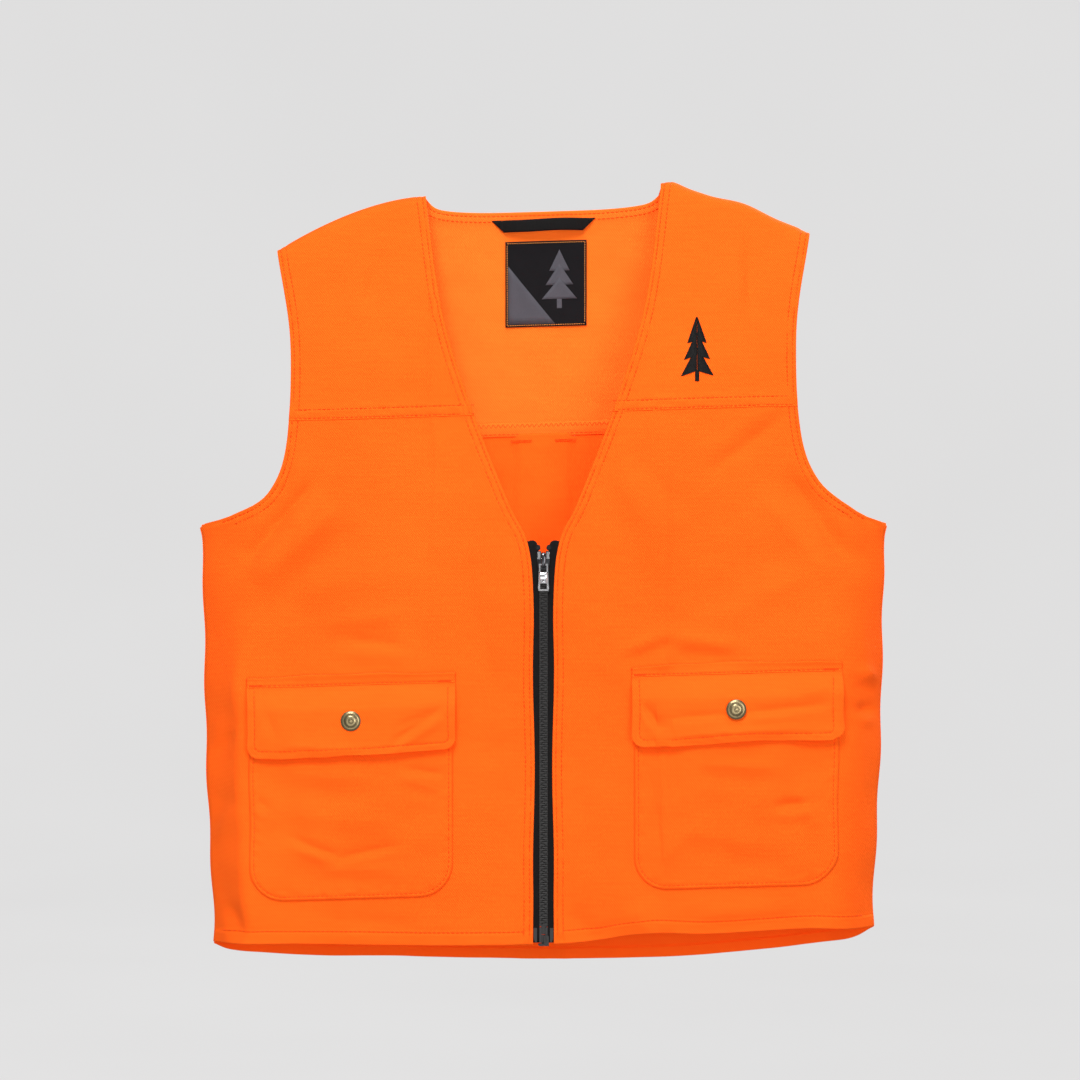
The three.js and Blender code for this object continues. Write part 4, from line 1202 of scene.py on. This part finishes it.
def flap(side):
    """A flap's two layers, its row of stitches and the strip that it hangs from."""
    name = NAMES[side]
    edge = flap_layer(f"{name}_flap_cloth", side, 0.0, 0.0, 0.0011, f"{name}_flap", [FLAP_ROW])
    flap_layer(f"{name}_flap_lining_cloth", side, 0.0008, 0.0012, 0.0008, f"{name}_flap_lining", [])
    row = inset(edge, FLAP_ROW)
    sew(f"{name}_flap_stitching", [row[row[:, 1] < FLAP_HINGE_Z - 0.002]],
        lambda x, z, more: place(x, z, FRONT, flap_out(x, z, side) + more - 0.00028), f"flap_{name}")
    seam_strip(side)


def strip_level(x, z, side):
    """How far the strip moves to meet the flap's straight fold."""
    return fold_level(x, side, 0.00025) * blob(z - FLAP_HINGE_Z, 0.007)


def seam_strip(side):
    """The sewn top of the flap, above its fold, with one long row and a bar tack at each end."""
    name, body = NAMES[side], f"front_{NAMES[side]}"
    middle, tall = side * POCKET_X, FLAP_TOP_Z - FLAP_HINGE_Z
    z = FLAP_HINGE_Z + tall * np.r_[0, 0.01, 0.03, np.linspace(0.06, 1, 22)]
    half = np.full(len(z), FLAP_HALF)
    X = across(-half, half, 60) + middle
    Z = np.repeat(z[:, None], X.shape[1], 1)
    u = (X - middle) / FLAP_HALF
    Z = Z + (Z - FLAP_HINGE_Z) / tall * (0.0012 * np.cos(u * 2.0) + 0.0005 * np.sin(u * 9 + side))
    out = FLAP_LOW + strip_level(X, Z, side) + 0.0012 * blob(Z - FLAP_TOP_Z - 0.0004, 0.0030)
    out -= 0.0004 * blob(Z - FLAP_HINGE_Z - STRIP_ROW, ROW_WIDTH)
    rim = rounded(np.minimum.reduce([X - X[:, :1], X[:, -1:] - X, Z[-1:] - Z]), 0.0009)
    inn = np.full(X.shape, CLOTH_OUT + 0.0001)
    fit(cloth(f"{name}_flap_top_cloth", X, Z, FRONT, inn + (out - inn) * (0.15 + 0.85 * rim), inn), body,
        f"{name}_flap_seam_strip")
    lift = lambda x, z, more: place(x, z, FRONT, FLAP_LOW + strip_level(x, z, side) + more - 0.00035)
    z, bar = FLAP_HINGE_Z + STRIP_ROW, 0.011
    x0, x1 = middle - FLAP_HALF + 0.002, middle + FLAP_HALF - 0.002
    row = lambda start, end, over=0.0: np.array([[start, z + over], [end, z + over]])
    sew(f"{name}_flap_top_row", [row(x0, x1)], lift, body)
    bars = [row(*ends, over) for ends in ((x0, x0 + bar), (x1 - bar, x1))
            for over in (0.0006, 0.0001, -0.0004)]
    sew(f"{name}_flap_bar_tacks", bars, lift, body, pitch=0.0011, share=0.95)


# ------------------------------------------------------------------ snaps


def turned(name, profile, centre, body, nodes, wear, sides=48):
    """A round brass piece about an axis along Y. The profile holds (radius, y) from end to end."""
    profile = np.array(profile, float)
    turn = np.linspace(0, 2 * math.pi, sides, endpoint=False)
    mid = profile[1:-1]
    r, y = mid[:, :1], np.repeat(mid[:, 1:], sides, 1)
    ring = np.stack([r * np.cos(turn), y, r * np.sin(turn)], -1)
    points = np.vstack([ring.reshape(-1, 3), [[0, profile[0, 1], 0], [0, profile[-1, 1], 0]]])
    faces = ribbon_faces(len(mid), sides).tolist()
    first, last = len(points) - 2, len(points) - 1
    base = (len(mid) - 1) * sides
    for k in range(sides):
        faces += [[first, (k + 1) % sides, k], [last, base + k, base + (k + 1) % sides]]
    obj = to_object(name, points + np.array([centre.x, 0, centre.z]), faces, BRASS)
    values = np.r_[np.repeat(wear[1:-1], sides), wear[0], wear[-1]]
    obj.data.attributes.new("wear", "FLOAT", "POINT").data.foreach_set("value", values.astype(np.float32))
    fit(obj, body, *nodes)


def snap(side):
    """Cap, socket, stud and post of one snap, each in its frame node's place. Profiles are in millimetres."""
    name = NAMES[side]
    flap_body, front_body = f"flap_{name}", f"front_{name}"
    lo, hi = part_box(f"{name}_snap_cap")
    centre = (lo + hi) / 2

    def room(part):
        low, high = (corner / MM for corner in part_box(f"{name}_snap_{part}"))
        return (high.x - low.x) / 2, low.y, high.y

    radius, top, foot = room("cap")
    rim = foot - 2.9
    dome = [(0, foot), (1.3, foot - 0.1), (1.4, foot - 0.3), (1.4, rim), (radius - 0.8, rim),
            (radius - 0.2, rim - 0.2), (radius, rim - 0.6), (radius - 0.2, rim - 1.1)]
    wear = [0.2] * 5 + [0.5, 0.9, 0.8]
    for k in np.linspace(0, 1, 40):
        r = (radius - 0.7) * (1 - k)
        rings = math.cos(r / radius * math.pi * 5.0)
        raised = 0.1 * rings * (r > 0.8) * (r < radius * 0.86)
        dome.append((max(r, 0.0), rim - 1.2 - (rim - 1.3 - top) * math.sin(k * math.pi / 2) ** 0.8 - raised))
        wear.append(0.25 + 0.45 * (rings > 0.1) + 0.25 * k)
    turned(f"{name}_snap_cap_brass", in_mm(dome), centre, flap_body, [f"{name}_snap_cap"], wear, 72)
    r, near, far = room("socket")
    socket = [(0, near), (r * 0.90, near), (r * 0.97, near + 0.2), (r, near + 0.6), (r * 0.97, far - 0.3),
              (r * 0.92, far), (3.1, far), (2.9, far - 0.3), (2.9, near + 0.6), (0, near + 0.5)]
    turned(f"{name}_snap_socket_brass", in_mm(socket), centre, flap_body, [f"{name}_snap_socket"], [0.5] * 10)
    r, near, far = room("stud")
    stud = [(0, near), (1.4, near), (2.2, near + 0.2), (2.4, near + 0.6), (2.2, near + 1.3),
            (2.4, far - 0.8), (r - 0.3, far - 0.7), (r, far - 0.4), (r - 0.2, far), (0, far)]
    turned(f"{name}_snap_stud_brass", in_mm(stud), centre, front_body,
           [f"{name}_snap_stud", f"{name}_snap_post"], [0.6] * 10)
    r, _, far = room("post")
    post = [(0, far - 1.2), (r - 0.6, far - 1), (r, far - 0.6), (r - 0.3, far), (0, far)]
    turned(f"{name}_snap_post_brass", in_mm(post), centre, front_body, [], [0.6] * 5)


# ------------------------------------------------------------------ zip

FRONT_Y = -(0.0002 + DEPTH[FRONT])
TOOTH_PITCH = 3.5  # in millimetres, as every size of the zip's hard parts
CHAIN_TOP, CHAIN_BOTTOM = -294.6, -570.5


def slab_of(outline, near, far, bevel, segments=2):
    """A plate with rounded edges from an outline in x and z, between two heights over the front's inside."""
    work = bmesh.new()
    face = work.faces.new([work.verts.new((a * MM, FRONT_Y - near * MM, b * MM)) for a, b in outline])
    made = bmesh.ops.extrude_face_region(work, geom=[face])
    verts = [v for v in made["geom"] if isinstance(v, bmesh.types.BMVert)]
    bmesh.ops.translate(work, verts=verts, vec=(0, (near - far) * MM, 0))
    bmesh.ops.recalc_face_normals(work, faces=work.faces)
    if bevel:
        bmesh.ops.bevel(work, geom=list(work.edges), offset=bevel * MM, segments=segments, affect="EDGES",
                        clamp_overlap=True)
    return work


def from_work(name, works, material, slot, body, *nodes):
    """One piece from several slabs, creased where they turn sharply."""
    whole = bmesh.new()
    for work in works:
        part = bpy.data.meshes.new("part")
        work.to_mesh(part)
        work.free()
        whole.from_mesh(part)
        bpy.data.meshes.remove(part)
    bmesh.ops.recalc_face_normals(whole, faces=whole.faces)
    for edge in whole.edges:
        edge.smooth = edge.calc_face_angle(0.0) < math.radians(40)
    for face in whole.faces:
        face.smooth = True
    mesh = bpy.data.meshes.new(name)
    whole.to_mesh(mesh)
    whole.free()
    mesh.materials.append(material)
    obj = bpy.data.objects.new(name, mesh)
    bpy.context.collection.objects.link(obj)
    if nodes:
        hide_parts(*nodes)
    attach(obj, body)


def mirrored(points, side):
    """An outline for either side of the zip."""
    return [(a * side, b) for a, b in (points if side > 0 else reversed(points))]


def whole(edge):
    """A symmetric outline from its right half, given from end to end."""
    return [(-a, b) for a, b in edge] + edge[::-1]


def room_for(node):
    """A node's box in millimetres: its near and far distance from the middle, its lowest and highest z."""
    lo, hi = (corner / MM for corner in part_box(node))
    return *sorted((abs(lo.x), abs(hi.x))), lo.z, hi.z


def tooth(z, side):
    """One moulded tooth: a block on the tape's cord with a round head that reaches past the middle."""
    high = 1.66
    mid = z - high / 2
    head = [(-0.45 + 0.72 * math.cos(a), mid + 0.78 * math.sin(a)) for a in np.linspace(1.9, 4.4, 6)]
    outline = [(3.3, z), (0.9, z - 0.05), (0.35, z - 0.22)] + head
    outline += [(0.35, z - high + 0.22), (0.9, z - high + 0.05), (3.3, z - high)]
    return slab_of(mirrored(outline, side), -2.1, 0.6, 0.18, 1)


def zip_side(side):
    """One half of the zip: teeth on a cord with a web behind them, tape, top stop and end film."""
    name, body = NAMES[side], f"front_{NAMES[side]}"
    top = CHAIN_TOP - (0.0 if side == LEFT else TOOTH_PITCH / 2)
    count = int((top - CHAIN_BOTTOM - 1.8) / TOOTH_PITCH) + 1
    works = [tooth(top - 0.2 - k * TOOTH_PITCH, side) for k in range(count)]
    cord = [(3.4, top), (2.4, top), (2.4, CHAIN_BOTTOM), (3.4, CHAIN_BOTTOM)]
    past, back, face = (-1.8, -2.5, -2.2) if side == LEFT else (1.4, -2.1, -1.7)
    foot = room_for("zip_retainer_box")[3] + 0.3 if side == LEFT else CHAIN_BOTTOM
    web = [(2.8, CHAIN_TOP + 3), (past, CHAIN_TOP + 3), (past, foot), (2.8, foot)]
    works.append(slab_of(mirrored(cord, side), -1.4, -0.2, 0.3))
    works.append(slab_of(mirrored(web, side), back, face, 0.1, 1))
    from_work(f"{name}_zip_teeth", works, TOOTH, "tooth", body, f"{name}_zip_chain")
    zip_tape(side)
    x0, x1, low, high = room_for(f"{name}_zip_top_stop")
    stop = [(x0, low), (x0, high - 0.8), (x0 + 0.8, high), (x1 - 1, high - 0.3), (x1, low + 1),
            (x1 - 0.6, low)]
    from_work(f"{name}_zip_stop", [slab_of(mirrored(stop, side), -1.9, 0.5, 0.6, 3)], FILM, "tooth", body,
              f"{name}_zip_top_stop")
    x0, x1, low, high = room_for(f"{name}_zip_end_film")
    film = [(x0, low + 0.2), (x0, high), (x1 + 0.3, high), (x1 + 0.3, low + 3), (x1 - 0.9, low + 0.2)]
    from_work(f"{name}_zip_film", [slab_of(mirrored(film, side), -0.25, 0.1, 0.1, 1)], FILM, "film", body,
              f"{name}_zip_end_film")


def zip_tape(side):
    """Woven tape, with the end at the top folded back behind the neck hem."""
    name = NAMES[side]
    z = np.concatenate([np.linspace(-0.2705, -0.2950, 14), np.linspace(-0.2985, -0.5830, 96)])
    inner = np.where(z > -0.2946, 0.0038, 0.0031)
    outer = np.full_like(z, 0.0160)
    t = np.array([0, 0.02, 0.06, 0.12, 0.2, 0.35, 0.5, 0.65, 0.8, 0.9, 0.97, 1.0])
    X = inner[:, None] + (outer - inner)[:, None] * t
    Z = np.repeat(z[:, None], len(t), 1)
    Z = Z - (0.0042 * smooth((0.0068 - X) / 0.0034) + 0.0010) * smooth((Z + 0.284) / 0.0135)
    Z[0] += 0.00035 * np.sin(X[0] * 2600)
    wave = 0.00022 * ripple(X, Z, 0.05, 101)
    cord = 0.0003 * blob(X - inner[:, None] - 0.0007, 0.0006)
    flat = lambda out: np.stack([X * side, FRONT_Y - out, Z], -1)
    obj = pillow(f"{name}_zip_tape_cloth", flat(-0.0004 + wave * 0.3 + cord), flat(-0.0011 + wave * 0.3 - cord),
                 TAPE, "tape")
    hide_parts(f"{name}_zip_tape")
    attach(obj, f"front_{name}")


def zip_foot():
    """The box and the two pins that stand in it."""
    for node, side in (("zip_box_pin", LEFT), ("zip_insertion_pin", RIGHT)):
        x0, x1, low, high = room_for(node)
        pin = [(x0, low), (x0, high - 0.5), (x0 + 0.5, high), (x1, high), (x1, low)]
        from_work(f"{node}_moulding", [slab_of(mirrored(pin, side), -1.7, 0.1, 0.3)], FILM, "tooth",
                  f"front_{NAMES[side]}", node)
    (left, _, low), (right, _, high) = (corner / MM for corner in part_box("zip_retainer_box"))
    block = [(0.4, low + 1.9), (0.4, high - 0.6), (1, high), (right - 1, high), (right, high - 1.2),
             (right, low + 1.2), (right - 1, low), (0.4, low)]
    floor = [(0.4, low), (left + 1, low), (left, low + 0.8), (left, low + 1.9), (0.4, low + 1.9)]
    back_plate = [(-1.6, low + 1.7), (1, low), (right, low), (right, high), (-1.6, high)]
    wall = [(right - 0.9, high - 0.2), (right, high - 1.2), (right, low), (right - 0.9, low)]
    rib = [(1.6, low + 3), (1.6, high - 1.4), (2.4, high - 1.4), (2.4, low + 3)]
    works = [slab_of(*plate) for plate in ((block[::-1], 0.6, 1.4, 0.3), (back_plate, -3, -2, 0.3),
                                           (wall, -2.2, 0.8, 0.2, 1), (floor, -3, 1.4, 0.3),
                                           (rib, 1.3, 1.7, 0.2, 1))]
    from_work("zip_retainer_box_moulding", works, TOOTH, "tooth", "front_left", "zip_retainer_box")


def slider():
    """A cast slider: two plates with rolled flanges, a web between them and bright shoulders; the casting is
    nickel painted dark, for the dark surroundings that it reflects and the shade on it.
    """
    _, half, bottom, top = room_for("zip_slider_body")
    waist = half - 1.3
    plate = whole([(1.2, top - 3), (1.9, top), (half - 0.8, top - 0.1), (half, top - 1), (half, top - 5.5),
                   (waist, bottom + 1.2), (waist - 0.8, bottom)])
    flange = [(waist - 0.3, bottom + 0.3), (waist + 0.1, bottom + 1.2), (half, top - 5.5), (half, top - 1.1),
              (half - 1, top - 0.6), (half - 1.2, top - 5), (waist - 0.6, bottom + 1)]
    boss = [(2.2, top - 6.4), (2.1, top - 0.4), (half - 0.8, top - 0.4), (half - 0.2, top - 1.2),
            (half - 0.4, top - 5.6), (half - 1.2, top - 6.6)]
    works = [slab_of(plate, 1, 2, 0.3), slab_of(plate, -3.6, -2.6, 0.3)]
    for side in (LEFT, RIGHT):
        works += [slab_of(mirrored(flange, side), near, near + 1.3, 0.2, 1) for near in (0, -2.9)]
    works.append(slab_of(whole([(0.3, top - 5), (0.3, top - 1.6)]), -2.8, 1.2, 0))
    # The casting takes the nickel painted dark, for reflected dark surroundings and shade.
    from_work("slider_casting", works, SHADED_NICKEL, "nickel", "zip_slider", "zip_slider_body")
    shoulders = [slab_of(mirrored(boss, side), 1.6, 2.5, 0.7, 4) for side in (LEFT, RIGHT)]
    from_work("slider_shoulders", shoulders, NICKEL, "nickel", "zip_slider")
    crown_and_spring()


def swept(name, height, z, widths, thick, material, body, *nodes):
    """A strap of metal along a path of heights and z, with given half widths and rounded corners."""
    path, widths = np.stack([height, z], 1), np.broadcast_to(widths, len(z))
    run = np.gradient(path, axis=0)
    run /= np.linalg.norm(run, axis=1)[:, None]
    corners = [(-1, -0.55), (-0.8, -1), (0.8, -1), (1, -0.55), (1, 0.55), (0.8, 1), (-0.8, 1), (-1, 0.55)]
    points = in_mm([(a * w, -p[0] - r[1] * b * thick / 2, p[1] - r[0] * b * thick / 2)
                    for p, r, w in zip(path, run, widths) for a, b in corners]) + (0, FRONT_Y, 0)
    count = len(corners)
    faces = ribbon_faces(len(path), count).tolist()
    faces += [list(range(count))[::-1], list(range(len(points) - count, len(points)))]
    obj = to_object(name, points, faces, material)
    if nodes:
        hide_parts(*nodes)
    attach(obj, body)


def crown_and_spring():
    """The arch that keeps the pull, bowed from the slider's top to its foot, and the lock's spring in it."""
    lo, hi = (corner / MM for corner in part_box("zip_slider_crown"))
    foot, peak = 2.1, FRONT_Y / MM - lo.y - 0.4
    t = np.linspace(0, 1, 22)
    height = foot + (peak - foot) * np.minimum(1, np.sin(t * math.pi) ** 0.45 * 1.02)
    z = hi.z - 0.4 - (hi.z - lo.z - 0.8) * (0.5 - 0.5 * np.cos(t * math.pi))
    widths = (hi.x - lo.x) / 2 * (0.72 + 0.28 * np.sin(t * math.pi))
    # The arch takes the nickel painted dark, for the dark surroundings that it reflects.
    swept("slider_crown_arch", height, z, widths, 0.8, SHADED_NICKEL, "zip_slider", "zip_slider_crown")
    lo, hi = (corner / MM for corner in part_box("zip_lock_spring"))
    t = np.linspace(0, 1, 12)
    height = FRONT_Y / MM - hi.y + 0.2 + 0.2 * np.sin(t * math.pi)
    z = hi.z - (hi.z - lo.z) * t
    swept("slider_lock_spring", height, z, (hi.x - lo.x) / 2, 0.35, NICKEL, "zip_slider", "zip_lock_spring")


def pull_tab():
    """A cast pull: two arms and a bar that hook in the crown, a domed middle and an open foot."""
    lo, hi = (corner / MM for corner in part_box("zip_pull_tab"))
    top, foot = hi.z, lo.z
    near, far = FRONT_Y / MM - hi.y, FRONT_Y / MM - lo.y
    bar = [(3.5, top - 1.2), (3.5, top)]
    arm = [(2.4, top - 7.5), (2.4, top - 1), (3.4, top - 0.6), (3.6, top - 7.5)]
    leg = [(2.6, foot + 1), (2.6, foot + 6.5), (3.9, foot + 6.5), (4.3, foot + 1.6), (3.6, foot + 0.2)]
    mouth = [(-2.4 + 0.4 * k, top - 6 - 1.1 * math.sin(k / 12 * math.pi)) for k in range(13)]
    middle = [(3.6, top - 6)] + mouth[::-1] + [(-3.6, top - 6), (-3.9, foot + 5.8), (3.9, foot + 5.8)]
    base = [(3.9, foot), (4.3, foot + 1.2), (3, foot + 1.4)]
    outlines = [whole(bar)] + [mirrored(part, side) for side in (LEFT, RIGHT) for part in (arm, leg)]
    works = [slab_of(outline, near, far, 0.3) for outline in outlines + [middle, whole(base)]]
    from_work("pull_tab_casting", works, NICKEL, "nickel", "zip_pull", "zip_pull_tab")
    t = np.linspace(-1, 1, 15)
    height = far - 0.4 + 1.1 * np.sqrt(1 - 0.96 * t * t)
    swept("pull_tab_boss", height, top - 9.8 - 3 * t, 2.9, 0.6, NICKEL, "zip_pull")
    grip = [slab_of([(-3, z), (3, z), (3, z - 0.5), (-3, z - 0.5)], far - 0.2, far + 0.3, 0.15, 1)
            for z in (top - 13.4, top - 14.2)]
    from_work("pull_tab_ribs", grip, NICKEL, "nickel", "zip_pull")


# ------------------------------------------------------------------ studio


# Name, place, size and power of each soft light.
LAMPS = [
    ("key", (-0.35, -1.9, 1.40), 0.9, 51),
    ("fill", (1.0, -2.3, -0.25), 1.2, 19),
    ("low", (-0.2, -1.5, -0.88), 1.0, 3.5),
    ("top", (0.2, -0.7, 1.5), 0.8, 9),
    ("back_key", (1.5, 1.6, 1.3), 0.9, 74),
    ("back_fill", (-1.3, 2.2, 0.2), 1.4, 17),
]


def studio():
    """A round pale floor that curves up into a far wall, soft lights on both sides and a camera in front."""
    floor_z, radius, bend, sides = -0.95, 6.0, 2.0, 72
    section = [(r, floor_z) for r in (0.02, 1.0, 2.5)]
    for a in np.linspace(0, math.pi / 2, 14):
        section.append((radius - bend + bend * math.sin(a), floor_z + bend - bend * math.cos(a)))
    section.append((radius, 4.5))
    angles = np.linspace(0, 2 * math.pi, sides, endpoint=False)
    points = [(r * math.cos(a), r * math.sin(a), z) for r, z in section for a in angles]
    faces = ribbon_faces(len(section), sides).tolist()
    wall = to_object("studio_bowl", points, faces + [tuple(range(sides))], backdrop_material())
    wall.visible_diffuse = wall.visible_glossy = wall.visible_shadow = False
    centre = Vector((0, 0, -0.27))
    for name, where, size, power in LAMPS:
        lamp = bpy.data.lights.new(name, "AREA")
        lamp.size, lamp.energy = size, power
        obj = bpy.data.objects.new(name, lamp)
        obj.location = where
        obj.visible_camera = False
        obj.rotation_euler = (centre - obj.location).to_track_quat("-Z", "Y").to_euler()
        bpy.context.collection.objects.link(obj)
    world = bpy.data.worlds.new("studio")
    world.use_nodes = True
    background = world.node_tree.nodes["Background"].inputs
    background["Color"].default_value = (1.0, 0.995, 0.99, 1)
    background["Strength"].default_value = 0.34
    bpy.context.scene.world = world
    view = bpy.context.scene.view_settings
    view.view_transform = "Standard"
    view.look = "None"
    camera()


def camera():
    """The camera stands straight in front, as in the photo."""
    distance, height, frame_size, frame_y = 2.6, -0.271, 0.842, -0.012
    data = bpy.data.cameras.new("camera")
    data.sensor_width = 36
    data.lens = 36 * (distance + frame_y) / frame_size
    obj = bpy.data.objects.new("camera", data)
    obj.location = (-0.0027, -distance, height)
    obj.rotation_euler = (math.pi / 2, 0, 0)
    bpy.context.collection.objects.link(obj)
    bpy.context.scene.camera = obj


# ------------------------------------------------------------------ the vest

studio()
fronts = {side: front_panel(side) for side in (LEFT, RIGHT)}
yokes = {side: front_yoke(side) for side in (LEFT, RIGHT)}
sew_panels(fronts, yokes, back_yoke(), back_panel())
hanging_loop()
neck_label()
chest_mark()
for side in (LEFT, RIGHT):
    pocket_bag(side)
    flap(side)
    snap(side)
    zip_side(side)
zip_foot()
slider()
pull_tab()
